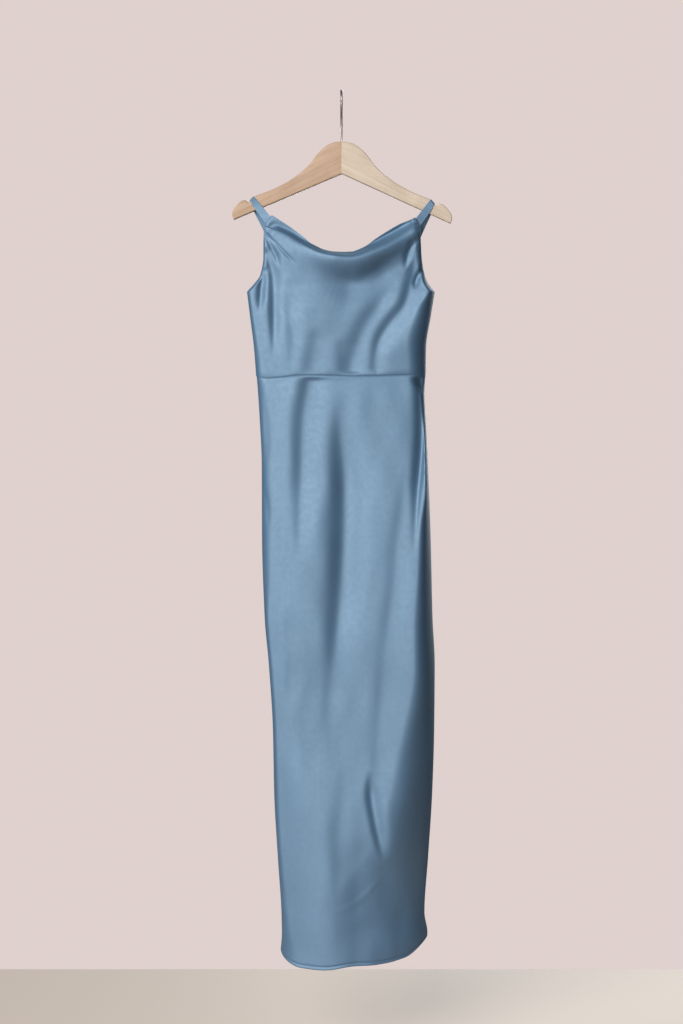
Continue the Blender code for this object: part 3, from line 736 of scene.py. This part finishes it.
def shaped_grid(name, places, side, finish, thick=None):
    """An object with a grid through places, an array of points by column and row."""
    across, down = places.shape[0] - 1, places.shape[1] - 1
    u, v = run_lengths(places, 0), run_lengths(places, 1)
    u -= u[-1:, :] / 2
    bm = bmesh.new()
    bmesh.ops.create_grid(bm, x_segments=across, y_segments=down, size=0.5)
    weave = bm.loops.layers.uv.new("cloth")
    weights = bm.verts.layers.deform.verify()
    for vert in bm.verts:
        i = round((0.5 - side * vert.co.x) * across)
        j = round((0.5 - vert.co.y) * down)
        vert.co = Vector(places[i, j]) * MM
        if thick is not None:
            vert[weights][0] = thick[i, j]
        for loop in vert.link_loops:
            loop[weave].uv = (u[i, j] * MM, -v[i, j] * MM)
    piece = placed(bm, name, finish)
    if thick is not None:
        piece.vertex_groups.new(name="turned edge")
    area = sum(p.area for p in piece.data.polygons)
    widest, longest = round(float(np.ptp(u, axis=0).max())), round(float(v.max()))
    print(name, "area", round(area, 4), "m2, widest", widest, "mm, longest", longest, "mm")
    return piece


def rounded(piece, name, width, segments, sharpest):
    """Rounds all edges that are sharper than this."""
    bevel = piece.modifiers.new(name, "BEVEL")
    bevel.width, bevel.segments = width, segments
    bevel.limit_method, bevel.angle_limit = "ANGLE", sharpest


def given_wall(piece, thickness, offset, thinnest=1.0):
    """Thickens a sheet, thinner off its turned edge, and rounds the rim."""
    wall = piece.modifiers.new("wall", "SOLIDIFY")
    wall.thickness = thickness
    wall.offset = offset
    if piece.vertex_groups:
        wall.vertex_group = "turned edge"
        wall.thickness_vertex_group = thinnest
    rounded(piece, "rim", RIM_ROUNDING, 2, RIM_ANGLE)


def dresses(piece, node):
    """The piece stands for a solid, which is hidden, and goes under the root body."""
    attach(piece, "root")
    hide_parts(node)


print("cloth", CLOTH / MM, "mm, its turned edges", TURNED_EDGE / MM, "mm")

# %% [markdown]
# # Shader groups
# Cloth, wood and wire each need some irregularity at a real scale. What more than one material
# uses is a node group, built once: fibres are long streaks along one direction, and blotches are
# soft differences from place to place. Each puts out values only. The shaders stay in the
# materials.

# %% Groups for fibres and blotches
NOISE = (0.3, 0.7)  # a noise hardly ever leaves this range
BAND_FIBRES = 8.0  # a band is this many fibres wide
LARGE_BLOTCH = 9.0  # a large blotch is this many small ones wide


def maths(tree, operation, *values):
    """What one operation makes of values or links."""
    return add(tree, "ShaderNodeMath", dict(enumerate(values)), operation=operation).outputs[0]


def noise(tree, place, per_metre, **inputs):
    """Soft noise around 0.5, with so many spots a metre."""
    inputs = {"Vector": place, "Scale": per_metre, **inputs}
    return add(tree, "ShaderNodeTexNoise", inputs).outputs["Fac"]


def value_group(name, numbers, outputs):
    """An empty group that takes in a place and these numbers, and puts out values."""
    group = bpy.data.node_groups.new(name, "ShaderNodeTree")
    group.interface.new_socket("Place", in_out="INPUT", socket_type="NodeSocketVector")
    for way, keys in (("INPUT", numbers), ("OUTPUT", outputs)):
        for key in keys:
            group.interface.new_socket(key, in_out=way, socket_type="NodeSocketFloat")
    given, out = group.nodes.new("NodeGroupInput"), group.nodes.new("NodeGroupOutput")
    return group, given.outputs, out


def fibres_group():
    """Streaks along X: fine ones, and broader bands of several together."""
    group, given, out = value_group("fibres", ("Length", "Per metre"), ("Fine", "Bands"))
    per_metre = given["Per metre"]
    shorter = maths(group, "DIVIDE", 1.0, given["Length"])
    stretch = add(group, "ShaderNodeCombineXYZ", {"X": shorter, "Y": 1.0, "Z": 1.0}).outputs[0]
    both = {0: given["Place"], 1: stretch}
    place = add(group, "ShaderNodeVectorMath", both, operation="MULTIPLY").outputs[0]
    bands_per_metre = maths(group, "DIVIDE", per_metre, BAND_FIBRES)
    fine = noise(group, place, per_metre, Detail=3.0, Roughness=0.6)
    bands = noise(group, place, bands_per_metre, Detail=2.0, Distortion=0.4)
    feed(group, out, {"Fine": fine, "Bands": bands})
    return group


def blotches_group():
    """Soft differences from place to place, large and small, each from 0 to 1."""
    group, given, out = value_group("blotches", ("Per metre",), ("Large", "Small"))
    place, per_metre = given["Place"], given["Per metre"]
    small_per_metre = maths(group, "MULTIPLY", per_metre, LARGE_BLOTCH)
    large = noise(group, place, per_metre, Detail=2.0)
    small = noise(group, place, small_per_metre, Detail=3.0)
    feed(group, out, {"Large": large, "Small": small})
    return group


FIBRES, BLOTCHES = fibres_group(), blotches_group()
print("groups:", FIBRES.name, BLOTCHES.name)

# %% [markdown]
# # The satin
# Satin shines because its long warp threads lie over the weft: most of its light is one broad,
# bluish gloss, over a deep blue that shows wherever the gloss turns away. So the base colour is
# dark, and a high refractive index makes the gloss strong, which is tinted and fairly rough. The
# threads only ripple it. They run along the UV map, down the cloth, with finer ones across.

# %% Satin
SATIN_DEEP = (0.026, 0.066, 0.122, 1)
SATIN_PALE = (0.034, 0.080, 0.142, 1)
SATIN_GLOSS = {"IOR": 2.3, "Specular Tint": (0.62, 0.82, 1, 1)}
SATIN_ROUGHNESS, ROUGHNESS_SPREAD = 0.65, 0.03
WARP, WEFT = (1400.0, 30.0), (1900.0, 12.0)  # fibres a metre, and their length in widths
SATIN_BLOTCHES = 14.0  # a metre
SATIN_BANDS = 0.3  # how much the warp's bands add to the blotches
SATIN_STREAKS = (0.4, 0.9)  # the range of both together
SATIN_BUMP = (0.22, 0.00008)  # strength, and a height in metres


def ranged(tree, value, seen, wanted=(0.0, 1.0)):
    """Brings a value from the range where it is seen to the one that is wanted."""
    ends = {"From Min": seen[0], "From Max": seen[1], "To Min": wanted[0], "To Max": wanted[1]}
    return add(tree, "ShaderNodeMapRange", {"Value": value, **ends}).outputs["Result"]


def blend(tree, share, a, b):
    """A colour between two."""
    inputs = {"Factor": share, "A": a, "B": b}
    return add(tree, "ShaderNodeMix", inputs, data_type="RGBA").outputs["Result"]


def bumped(tree, height, strength, distance):
    """A normal that ripples with a height."""
    inputs = {"Height": height, "Strength": strength, "Distance": distance}
    return add(tree, "ShaderNodeBump", inputs).outputs["Normal"]


def grouped(tree, group, place, per_metre, length=None):
    """What a group puts out, at a place, at a scale and, for fibres, with their length."""
    inputs = {"Place": place, "Per metre": per_metre} | ({"Length": length} if length else {})
    return add(tree, "ShaderNodeGroup", inputs, node_tree=group).outputs


def satin_material():
    made, tree, shader = new_material("satin", SATIN_GLOSS)
    cloth = add(tree, "ShaderNodeUVMap", uv_map="cloth").outputs["UV"]
    quarter_turn = {"Vector": cloth, "Rotation": (0, 0, math.pi / 2)}
    down_cloth = add(tree, "ShaderNodeMapping", quarter_turn).outputs["Vector"]
    warp = grouped(tree, FIBRES, down_cloth, *WARP)
    weft = grouped(tree, FIBRES, cloth, *WEFT)
    uneven = grouped(tree, BLOTCHES, cloth, SATIN_BLOTCHES)
    threads = maths(tree, "ADD", warp["Fine"], weft["Fine"])
    streaks = maths(tree, "MULTIPLY_ADD", warp["Bands"], SATIN_BANDS, uneven["Large"])
    rough = (SATIN_ROUGHNESS - ROUGHNESS_SPREAD, SATIN_ROUGHNESS + ROUGHNESS_SPREAD)
    feed(tree, shader, {
        "Base Color": blend(tree, ranged(tree, streaks, SATIN_STREAKS), SATIN_DEEP, SATIN_PALE),
        "Roughness": ranged(tree, uneven["Small"], NOISE, rough),
        "Normal": bumped(tree, threads, *SATIN_BUMP),
    })
    return made


SATIN = satin_material()
print("satin:", len(SATIN.node_tree.nodes), "nodes")

# %% [markdown]
# # The four panels
# Their places are worked out first, because the stitches need them too. The armholes, the back
# neck and the hem are open edges and get the turned band. The cowl's edge is a soft fold, and the
# waist and side seams are joined, so they need none.

# %% Panels
HEM_ROLL, ROLL_REACH = 1.8, 2.0  # the hem's edge rolls in by this, over this much of its height
HEM_GROOVE, GROOVE_UP, GROOVE_REACH = 1.3, 5.0, 1.7  # above that is a slight groove
COWL_FOLD = 0.5  # the cowl's edge is a plain fold, half as thick as a turned and stitched one
BODICE_FRONT_CELLS, BODICE_FRONT_UPPER = (180, 150), 82
BODICE_BACK_CELLS, BODICE_BACK_UPPER = (110, 90), 30
SKIRT_FRONT_CELLS = (130, 340)
SKIRT_BACK_CELLS = (110, 300)


def bodice_band(places, upper_rows, at_neck):
    """The turned band along a bodice panel's armholes, and this much of it along the neck."""
    u, v = run_lengths(places, 0), run_lengths(places, 1)
    above = np.arange(places.shape[1])[None, :] <= upper_rows
    at_arm = np.where(above, np.maximum(band(u), band(u[-1:, :] - u)), 0)
    return np.maximum(at_neck * band(v), at_arm)


def hem_band(places):
    """The turned band along a skirt panel's hem."""
    v = run_lengths(places, 1)
    return band(v[:, -1:] - v)


def proud(places, side, thick, rolled=0.0):
    """The turned band stands out by a hair. A rolled hem's edge goes back in, below a groove."""
    out = places.copy()
    standing = np.abs(places[..., 1])
    v = run_lengths(places, 1)
    from_hem = v[:, -1:] - v
    roll = rolled * np.clip(1 - from_hem / ROLL_REACH, 0, 1) ** 2
    if rolled:
        roll += HEM_GROOVE * np.exp(-(((from_hem - GROOVE_UP) / GROOVE_REACH) ** 2))
    out[..., 1] += side * (TURNED_PROUD * thick - roll) * (standing > TURNED_PROUD + rolled)
    return out


bodice_front = bodice_places(
    BODICE_FRONT_CELLS, BODICE_FRONT_UPPER, FRONT, FRONT_ARMHOLE, COWL_EDGE, BODICE_FRONT_DEPTHS,
    BODICE_FRONT_CREASES)
bodice_back = bodice_places(
    BODICE_BACK_CELLS, BODICE_BACK_UPPER, BACK, BACK_ARMHOLE, BACK_SCOOP, BODICE_BACK_DEPTHS,
    BODICE_BACK_CREASES)
skirt_front = skirt_places(SKIRT_FRONT_CELLS, FRONT, SKIRT_FRONT_DEPTHS, SKIRT_FRONT_CREASES)
skirt_back = skirt_places(SKIRT_BACK_CELLS, BACK, SKIRT_BACK_DEPTHS, SKIRT_BACK_CREASES)
front_band = bodice_band(bodice_front, BODICE_FRONT_UPPER, COWL_FOLD)
back_band = bodice_band(bodice_back, BODICE_BACK_UPPER, 1)
# places, side, turned band, and the cut: the rectangle that the cloth came from, and its own area
PANELS = {
    "bodice_front": (bodice_front, FRONT, front_band, (0.4, 0.27), 0.0691),
    "bodice_back": (bodice_back, BACK, back_band, (0.34, 0.22), 0.0555),
    "skirt_front": (skirt_front, FRONT, hem_band(skirt_front), (0.34, 0.95), 0.29),
    "skirt_back": (skirt_back, BACK, hem_band(skirt_back), (0.32, 0.95), 0.266),
}
for node, (places, side, thick, flat, area) in PANELS.items():
    rolled = HEM_ROLL if node.startswith("skirt") else 0
    piece = shaped_grid(f"dress_{node}", proud(places, side, thick, rolled), side, SATIN, thick)
    given_wall(piece, TURNED_EDGE, -1, thinnest=CLOTH / TURNED_EDGE)
    dresses(piece, node)

# %% [markdown]
# # Sewing thread
# The thread is a shade paler than the satin and duller. It is all one blue, a little uneven, from
# the same blotches as the cloth, at the scale of a stitch.

# %% Thread
THREAD_COLOURS = ((0.07, 0.14, 0.23, 1), (0.13, 0.22, 0.32, 1))
THREAD_BLOTCHES = 160.0  # a metre
THREAD_ROUGHNESS = (0.45, 0.6)


def blotched_material(name, per_metre, colours, share, roughness, inputs=None):
    """Two colours that run into each other in blotches, over this share of the blotches' range."""
    made, tree, shader = new_material(name, inputs)
    place = add(tree, "ShaderNodeTexCoord").outputs["Object"]
    uneven = grouped(tree, BLOTCHES, place, per_metre)
    feed(tree, shader, {
        "Base Color": blend(tree, ranged(tree, uneven["Large"], share), *colours),
        "Roughness": ranged(tree, uneven["Small"], NOISE, roughness),
    })
    return made


THREAD = blotched_material("thread", THREAD_BLOTCHES, THREAD_COLOURS, (0, 1), THREAD_ROUGHNESS)
print("thread:", len(THREAD.node_tree.nodes), "nodes")

# %% [markdown]
# # Stitches
# The hem and the armholes are held by a row of small stitches, a little way in from the edge. One
# stitch is a stretched icosphere of 20 faces. Each row is one mesh, with the stitches set along a
# line that is measured on the panel itself, so they follow its folds.

# %% Stitches
STITCH_PITCH, STITCH_LENGTH, STITCH_RADIUS = 3.1, 2.2, 0.23
STITCH_FROM_EDGE = TURNED_BAND - 0.6  # just inside the turned band
STITCH_LIFT = TURNED_PROUD * 0.5 + STITCH_RADIUS * 0.4  # half sunk in the raised band
FREE_LINES = 3  # the lines nearest to a seam or a corner carry no stitch


def evenly(line, run, at):
    """Places on a line of points, this far along its run."""
    return np.stack([np.interp(at, run, line[:, axis]) for axis in range(3)], axis=-1)


def inside_edge(lines, distance):
    """The place on each line of points that lies this far along it."""
    return np.array([evenly(line, run_of(line), distance) for line in lines])


def stitch_row(name, lines, side):
    """A row of stitches along the edge where these lines start, on their way into the panel."""
    here, deeper = (inside_edge(lines, STITCH_FROM_EDGE + further) for further in (0, 1))
    run = run_of(here)
    middles = np.arange(STITCH_PITCH / 2, run[-1], STITCH_PITCH)
    ends = [evenly(here, run, middles + way * STITCH_LENGTH / 2) for way in (-1, 1)]
    inward = evenly(deeper - here, run, middles)
    bm = bmesh.new()
    for start, end, into in zip(*ends, inward):
        along = Vector(end - start).normalized()
        out = along.cross(Vector(into)).normalized()
        if out.y * side < 0:
            out.negate()
        turn = Matrix((along, out.cross(along), out)).transposed().to_4x4()
        size = Matrix.Diagonal((STITCH_LENGTH / 2, STITCH_RADIUS, STITCH_RADIUS, 1))
        place = Matrix.Translation(Vector((start + end) / 2) + out * STITCH_LIFT)
        bmesh.ops.create_icosphere(
            bm, subdivisions=1, radius=1, matrix=Matrix.Scale(MM, 4) @ place @ turn @ size)
    piece = placed(bm, name, THREAD)
    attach(piece, "root")
    print(name, len(middles), "stitches")


def columns_from_hem(places):
    """A skirt's columns, each from the hem into the panel."""
    return [line[::-1] for line in places[FREE_LINES:-FREE_LINES]]


def rows_from_arm(places, upper_rows, end):
    """The rows above the underarm, each from the left or the right armhole into the panel."""
    rows = [places[:, j] for j in range(FREE_LINES, upper_rows - 1)]
    return rows if end == "left" else [row[::-1] for row in rows]


for name, places, side in (("front", skirt_front, FRONT), ("back", skirt_back, BACK)):
    stitch_row(f"hem_stitches_{name}", columns_from_hem(places), side)
BODICES = (("front", bodice_front, BODICE_FRONT_UPPER, FRONT),
           ("back", bodice_back, BODICE_BACK_UPPER, BACK))
for end in ("left", "right"):
    for name, places, upper_rows, side in BODICES:
        stitch_row(f"armhole_stitches_{name}_{end}", rows_from_arm(places, upper_rows, end), side)

# %% [markdown]
# # The wooden hanger
# A flat wooden hanger is sawn in two halves from different boards and glued at the head, so the
# left one here is warmer and the right one paler. Its outline is a short table of points, with a
# corner where the saw left one and a smooth bend elsewhere. A flat curve turns that table into a
# board with rounded edges. The board is made a mesh and cut at the joint.

# %% Hanger
HANGER_THICK, HANGER_EDGE = 12.0, 2.0
HANGER_TILT = math.radians(1.0)  # the right arm hangs a little lower
HANGER_SHIFT = 1.2
JOINT_GAP = 0.1
OUTLINE_STEPS, EDGE_STEPS = 10, 4  # from one point to the next, and round the edge
WOOD_SHARP = math.radians(30)
# x, z, and whether the outline has a corner there, on the right half of the level hanger
HANGER_HALF = [
    (0, -81, False),
    (19, -84.5, False),
    (38, -99.5, False),
    (54, -120, False),
    (76, -139, False),
    (102, -155, False),
    (143, -172.5, True),
    (151, -182, False),
    (158, -178.5, False),
    (171, -187.5, False),
    (178, -200.5, False),
    (175.5, -210.5, True),
    (0, -133, True),
]


def hanger_place(x, z):
    """A place on the level hanger, moved to where the tilted hanger has it."""
    return x + HANGER_SHIFT, z - x * math.tan(HANGER_TILT)


def hanger_board():
    """Both halves in one, with rounded edges, as a bmesh in the dress's frame."""
    flat = bpy.data.curves.new("hanger outline", "CURVE")
    flat.dimensions = "2D"
    flat.fill_mode = "BOTH"
    flat.resolution_u = OUTLINE_STEPS
    flat.extrude = (HANGER_THICK / 2 - HANGER_EDGE) * MM
    flat.bevel_depth = HANGER_EDGE * MM
    flat.bevel_resolution = EDGE_STEPS
    flat.offset = -HANGER_EDGE * MM
    outline = HANGER_HALF + [(-x, z, corner) for x, z, corner in reversed(HANGER_HALF[1:-1])]
    spline = flat.splines.new("BEZIER")
    spline.bezier_points.add(len(outline) - 1)
    spline.use_cyclic_u = True
    for point, (x, z, corner) in zip(spline.bezier_points, outline):
        point.co = (*(v * MM for v in hanger_place(x, z)), 0)
        point.handle_left_type = point.handle_right_type = "VECTOR" if corner else "AUTO"
    drawn = linked("hanger outline", flat)
    bpy.context.view_layer.update()
    bm = bmesh.new()
    bm.from_mesh(drawn.to_mesh())
    drawn.to_mesh_clear()
    bpy.data.objects.remove(drawn)
    bmesh.ops.remove_doubles(bm, verts=bm.verts, dist=1e-6)
    bmesh.ops.rotate(bm, verts=bm.verts, matrix=Matrix.Rotation(math.radians(90), 3, "X"))
    bmesh.ops.recalc_face_normals(bm, faces=bm.faces)
    return bm


def hanger_half(name, board, side, finish):
    """One side of the board, closed where the cut is."""
    bm = board.copy()
    cut = bmesh.ops.bisect_plane(
        bm, geom=bm.verts[:] + bm.edges[:] + bm.faces[:], dist=1e-7,
        plane_co=(side * JOINT_GAP / 2 * MM, 0, 0), plane_no=(-side, 0, 0), clear_outer=True)
    rim = [item for item in cut["geom_cut"] if isinstance(item, bmesh.types.BMEdge)]
    bmesh.ops.contextual_create(bm, geom=rim)
    bmesh.ops.recalc_face_normals(bm, faces=bm.faces)
    piece = placed(bm, name, finish)
    piece.data.set_sharp_from_angle(angle=WOOD_SHARP)
    print(name, len(piece.data.polygons), "faces")
    return piece


print("board:", HANGER_THICK, "mm thick, its outline has", 2 * len(HANGER_HALF) - 2, "points")

# %% [markdown]
# # Wood
# The grain runs along each arm, so the pattern is turned by the arm's slope before it is
# stretched. The wood is pale, with a faint figure, fine pores and a thin lacquer. Round the wire
# the bore is darker: that is painted shade, for the gap where the wire goes into the wood.

# %% Wood
ARM_SLOPE = math.radians(26)
# pale, dark
WOOD_COLOURS = {
    "left": ((0.322, 0.213, 0.139, 1), (0.245, 0.155, 0.093, 1)),
    "right": ((0.42, 0.345, 0.27, 1), (0.34, 0.265, 0.20, 1)),
}
LACQUER = {"Coat Weight": 0.06, "Coat Roughness": 0.5}
WOOD_ROUGHNESS = (0.5, 0.64)
BOARD_APART, BOARD_DEEP = 0.37, 0.11  # each half is cut from its own place in the grain
GRAIN = (1300.0, 26.0)  # fibres a metre, and their length in widths
WOOD_FIGURE = 22.0  # blotches a metre
WOOD_MIXTURE = (1.2, 1.85)  # the range of grain and figure together
WOOD_BUMP = (0.25, 0.0001)
# painted shade round the bore, where the wire goes into the wood: darkest at its middle
BORE_SHADE_REACH = (0.0021, 0.0034)  # metres from the bore's middle, where it starts to fade and ends
BORE_UNSHADED = (0.25, 1.0)
BORE_SHADE_COLOUR = (0.10, 0.06, 0.035, 1)


def wood_material(name, side, pale, dark):
    made, tree, shader = new_material(name, LACQUER)
    place = add(tree, "ShaderNodeTexCoord").outputs["Object"]
    turned_board = {"Vector": place, "Rotation": (0, -side * ARM_SLOPE, 0),
                    "Location": (side * BOARD_APART, BOARD_DEEP, 0)}
    along = add(tree, "ShaderNodeMapping", turned_board).outputs["Vector"]
    grain = grouped(tree, FIBRES, along, *GRAIN)
    figure = grouped(tree, BLOTCHES, along, WOOD_FIGURE)
    lines = maths(tree, "ADD", grain["Bands"], grain["Fine"])
    mixture = ranged(tree, maths(tree, "ADD", lines, figure["Large"]), WOOD_MIXTURE)
    # painted shade: the wood goes darker towards the wire's bore
    level = add(tree, "ShaderNodeVectorMath", {0: place, 1: (1, 1, 0)}, operation="MULTIPLY")
    from_bore = add(tree, "ShaderNodeVectorMath", {0: level.outputs[0]}, operation="LENGTH")
    unshaded = ranged(tree, from_bore.outputs["Value"], BORE_SHADE_REACH, BORE_UNSHADED)
    feed(tree, shader, {
        "Base Color": blend(tree, unshaded, BORE_SHADE_COLOUR, blend(tree, mixture, pale, dark)),
        "Roughness": ranged(tree, grain["Bands"], NOISE, WOOD_ROUGHNESS),
        "Normal": bumped(tree, lines, *WOOD_BUMP),
    })
    return made


board = hanger_board()
for name, side in (("left", -1), ("right", 1)):
    finish = wood_material(f"wood_{name}", side, *WOOD_COLOURS[name])
    dresses(hanger_half(f"wood_{name}", board, side, finish), f"hanger_{name}")
board.free()

# %% [markdown]
# # The wire hook
# A straight wire is bent twice: backwards a little, then round the rail. Here a ring of points is
# extruded along that way, step by step, turned each time to face where the wire goes.

# %% Hook
WIRE_RADIUS = 2.0
HOOK_INNER_RADIUS = 18.0
HOOK_ARC = (math.radians(232), math.radians(-28))
HOOK_STEM = (-97.0, -60.0)
HOOK_BEND_PULL = 9.0
HOOK_ARC_PLACES, HOOK_BEND_PLACES = 49, 14
WIRE_SIDES = 16


def hook_path():
    """(y, z) places up out of the wood, forward, over the top and down behind."""
    radius = HOOK_INNER_RADIUS + WIRE_RADIUS
    angles = np.linspace(*HOOK_ARC, HOOK_ARC_PLACES)
    arc = np.stack([radius * np.cos(angles), radius * np.sin(angles) - HOOK_INNER_RADIUS], axis=-1)
    into_arc = np.array([math.sin(HOOK_ARC[0]), -math.cos(HOOK_ARC[0])])
    foot, stem_top = np.array([0, HOOK_STEM[0]]), np.array([0, HOOK_STEM[1]])
    t = np.linspace(0, 1, HOOK_BEND_PLACES)[1:-1, None]
    after_stem, before_arc = stem_top + (0, HOOK_BEND_PULL), arc[0] - HOOK_BEND_PULL * into_arc
    pulls = 3 * t * (1 - t) ** 2 * after_stem + 3 * t * t * (1 - t) * before_arc
    bend = stem_top * (1 - t) ** 3 + arc[0] * t**3 + pulls
    return np.vstack([foot, stem_top, bend, arc])


def swept(path, radius, sides):
    """A bmesh tube along a way in the plane x = 0, by extruding one ring."""
    ways = np.gradient(path, axis=0)
    steps = []
    for (y, z), (way_y, way_z) in zip(path, ways):
        turn = Vector((0, way_y, way_z)).to_track_quat("Z", "X").to_matrix().to_4x4()
        steps.append(Matrix.Translation(Vector((0, y, z)) * MM) @ turn)
    bm = bmesh.new()
    bmesh.ops.create_circle(bm, cap_ends=True, segments=sides, radius=radius * MM, matrix=steps[0])
    ring = bm.edges[:]
    for before, after in zip(steps, steps[1:]):
        grown = bmesh.ops.extrude_edge_only(bm, edges=ring)["geom"]
        verts = {item for item in grown if isinstance(item, bmesh.types.BMVert)}
        ring = [edge for edge in bm.edges if edge.verts[0] in verts and edge.verts[1] in verts]
        bmesh.ops.transform(bm, matrix=after @ before.inverted(), verts=list(verts))
    bmesh.ops.contextual_create(bm, geom=ring)
    bmesh.ops.recalc_face_normals(bm, faces=bm.faces)
    return bm


wire = swept(hook_path(), WIRE_RADIUS, WIRE_SIDES)
print("wire: a tube of", len(wire.faces), "faces")

# %% [markdown]
# # The wire's finish
# Bright plated wire that has hung on many rails is scuffed, so it mirrors softly and unevenly. Its
# cut ends are rounded with a bevel, so they don't catch on the cloth.

# %% Wire
WIRE_COLOURS = ((0.27, 0.22, 0.195, 1), (0.42, 0.37, 0.34, 1))
WIRE_BLOTCHES = 90.0  # a metre
WIRE_MARKS = (0.35, 0.65)
WIRE_ROUGHNESS = (0.46, 0.6)
TIP_ROUNDING, TIP_ANGLE = 1.2 * MM, math.radians(50)
WIRE_SHARP = math.radians(70)

WIRE = blotched_material(
    "wire", WIRE_BLOTCHES, WIRE_COLOURS, WIRE_MARKS, WIRE_ROUGHNESS, {"Metallic": 1.0})
hook = placed(wire, "wire_hook", WIRE)
hook.data.set_sharp_from_angle(angle=WIRE_SHARP)
rounded(hook, "rounded ends", TIP_ROUNDING, 4, TIP_ANGLE)
dresses(hook, "hook")
print("hook", len(hook.data.polygons), "faces")

# %% [markdown]
# # The straps
# Each strap is a narrow tube of satin, pressed flat, so it is twice as thick as the panels. It
# starts inside the front corner, lies on the wood's face, goes over in the notch, where it is
# squeezed together, and comes down inside the back corner. A row of stations, worked out from the
# same sizes as the solids, says where its middle is and how wide it is there, and a smooth curve
# joins them.

# %% Straps
STRAP_WIDTH = 13.0
STRAP_THICK = 1.1
STRAP_OFF_WOOD = 0.7  # the strap's middle layer stands this far off the wood
STRAP_INSIDE = 3.2  # and this far inside a panel's face
STRAP_END_INSIDE = 2.5  # its tucked end lies deeper by this
STRAP_TUCK = 10.0  # how far it goes on below a corner
STRAP_ON_FACE = 10.0  # it meets the wood's face this far from the notch
STRAP_FRONT = {-1: (-117.5, -210), 1: (122, -214)}  # where its middle meets the front corner
STRAP_SEAT = 0.42  # where it lies in the notch, as a share of the flank
STRAP_SQUEEZE = 0.68  # its share of the width there
STRAP_MIDWAY = (0.6, 0.96)  # halfway up: how far out it is, as a share, and its share of the width
STRAP_FACE = (0.15, 0.88)  # on the wood's face: how far it has turned, and its share of the width
STRAP_OVER_EDGE = (0, 30, 60, 90)  # degrees round the wood's edge
STRAP_CELLS = (16, 200)
NOTCH_GATHERS, NOTCH_GATHER_DEPTH = 3.5, 0.35
NOTCH_SHOULDER, NOTCH_BOTTOM = (143, -172.5), (151, -182)


def strap_stations(side):
    """Rows of x, z, y of the strap's middle, the way of its width in x and z, and that width."""
    flank_ends = (NOTCH_SHOULDER, NOTCH_BOTTOM)
    shoulder, bottom = (np.array(hanger_place(side * x, z)) for x, z in flank_ends)
    flank = (bottom - shoulder) / np.linalg.norm(bottom - shoulder)
    out = np.array([-flank[1], flank[0]]) * side
    seat = mixed(shoulder, bottom, STRAP_SEAT)
    back_z, left, right, back_edge = BACK_ARMHOLE[0]
    front = np.array(STRAP_FRONT[side])
    back = np.array([(left if side < 0 else right) - side * STRAP_WIDTH / 2, back_z])
    turn = HANGER_EDGE + STRAP_OFF_WOOD
    halves = []
    for low, edge, y_side in ((front, FRONT_ARMHOLE[0][3], FRONT), (back, back_edge, BACK)):
        way = (seat - low) / np.linalg.norm(seat - low)
        across = np.array([way[1], -way[0]]) * side
        on_face = seat - way * STRAP_ON_FACE
        inside, face = edge - STRAP_INSIDE, HANGER_THICK / 2 + STRAP_OFF_WOOD
        half = [
            (*(low - way * STRAP_TUCK), y_side * (inside - STRAP_END_INSIDE), *across, STRAP_WIDTH),
            (*low, y_side * inside, *across, STRAP_WIDTH),
            (*mixed(low, on_face, 0.5), y_side * mixed(inside, face, STRAP_MIDWAY[0]), *across,
             STRAP_WIDTH * STRAP_MIDWAY[1]),
            (*on_face, y_side * face, *mixed(across, flank, STRAP_FACE[0]),
             STRAP_WIDTH * STRAP_FACE[1]),
        ]
        for degrees in STRAP_OVER_EDGE:
            angle = math.radians(degrees)
            place = seat + out * (turn * math.sin(angle) - HANGER_EDGE)
            y = HANGER_THICK / 2 - HANGER_EDGE + turn * math.cos(angle)
            half.append((*place, y_side * y, *flank, STRAP_WIDTH * STRAP_SQUEEZE))
        halves.append(half)
    return halves[0] + halves[1][::-1]


def strap_places(side):
    """The strap's surface by column and row, gathered where the notch squeezes it."""
    track = drawn_through(strap_stations(side), STRAP_CELLS[1])
    ways = np.gradient(track[:, :3], axis=0)
    across = np.linspace(-0.5, 0.5, STRAP_CELLS[0] + 1)[:, None]
    places = np.empty((STRAP_CELLS[0] + 1, STRAP_CELLS[1] + 1, 3))
    for j, (x, z, y, way_x, way_z, width) in enumerate(track):
        width_way = np.array([way_x, 0, way_z]) / math.hypot(way_x, way_z)
        off = np.cross([ways[j][0], ways[j][2], ways[j][1]], width_way)
        off /= np.linalg.norm(off)
        squeeze = (1 - width / STRAP_WIDTH) / (1 - STRAP_SQUEEZE)
        wave = NOTCH_GATHER_DEPTH * squeeze * np.cos(2 * np.pi * NOTCH_GATHERS * across)
        places[:, j] = np.array([x, y, z]) + across * width * width_way + wave * off
    return places


for name, side in (("left", -1), ("right", 1)):
    places = strap_places(side)
    strap = shaped_grid(f"satin_strap_{name}", places, BACK, SATIN)
    given_wall(strap, STRAP_THICK * MM, 0)
    dresses(strap, f"strap_{name}")
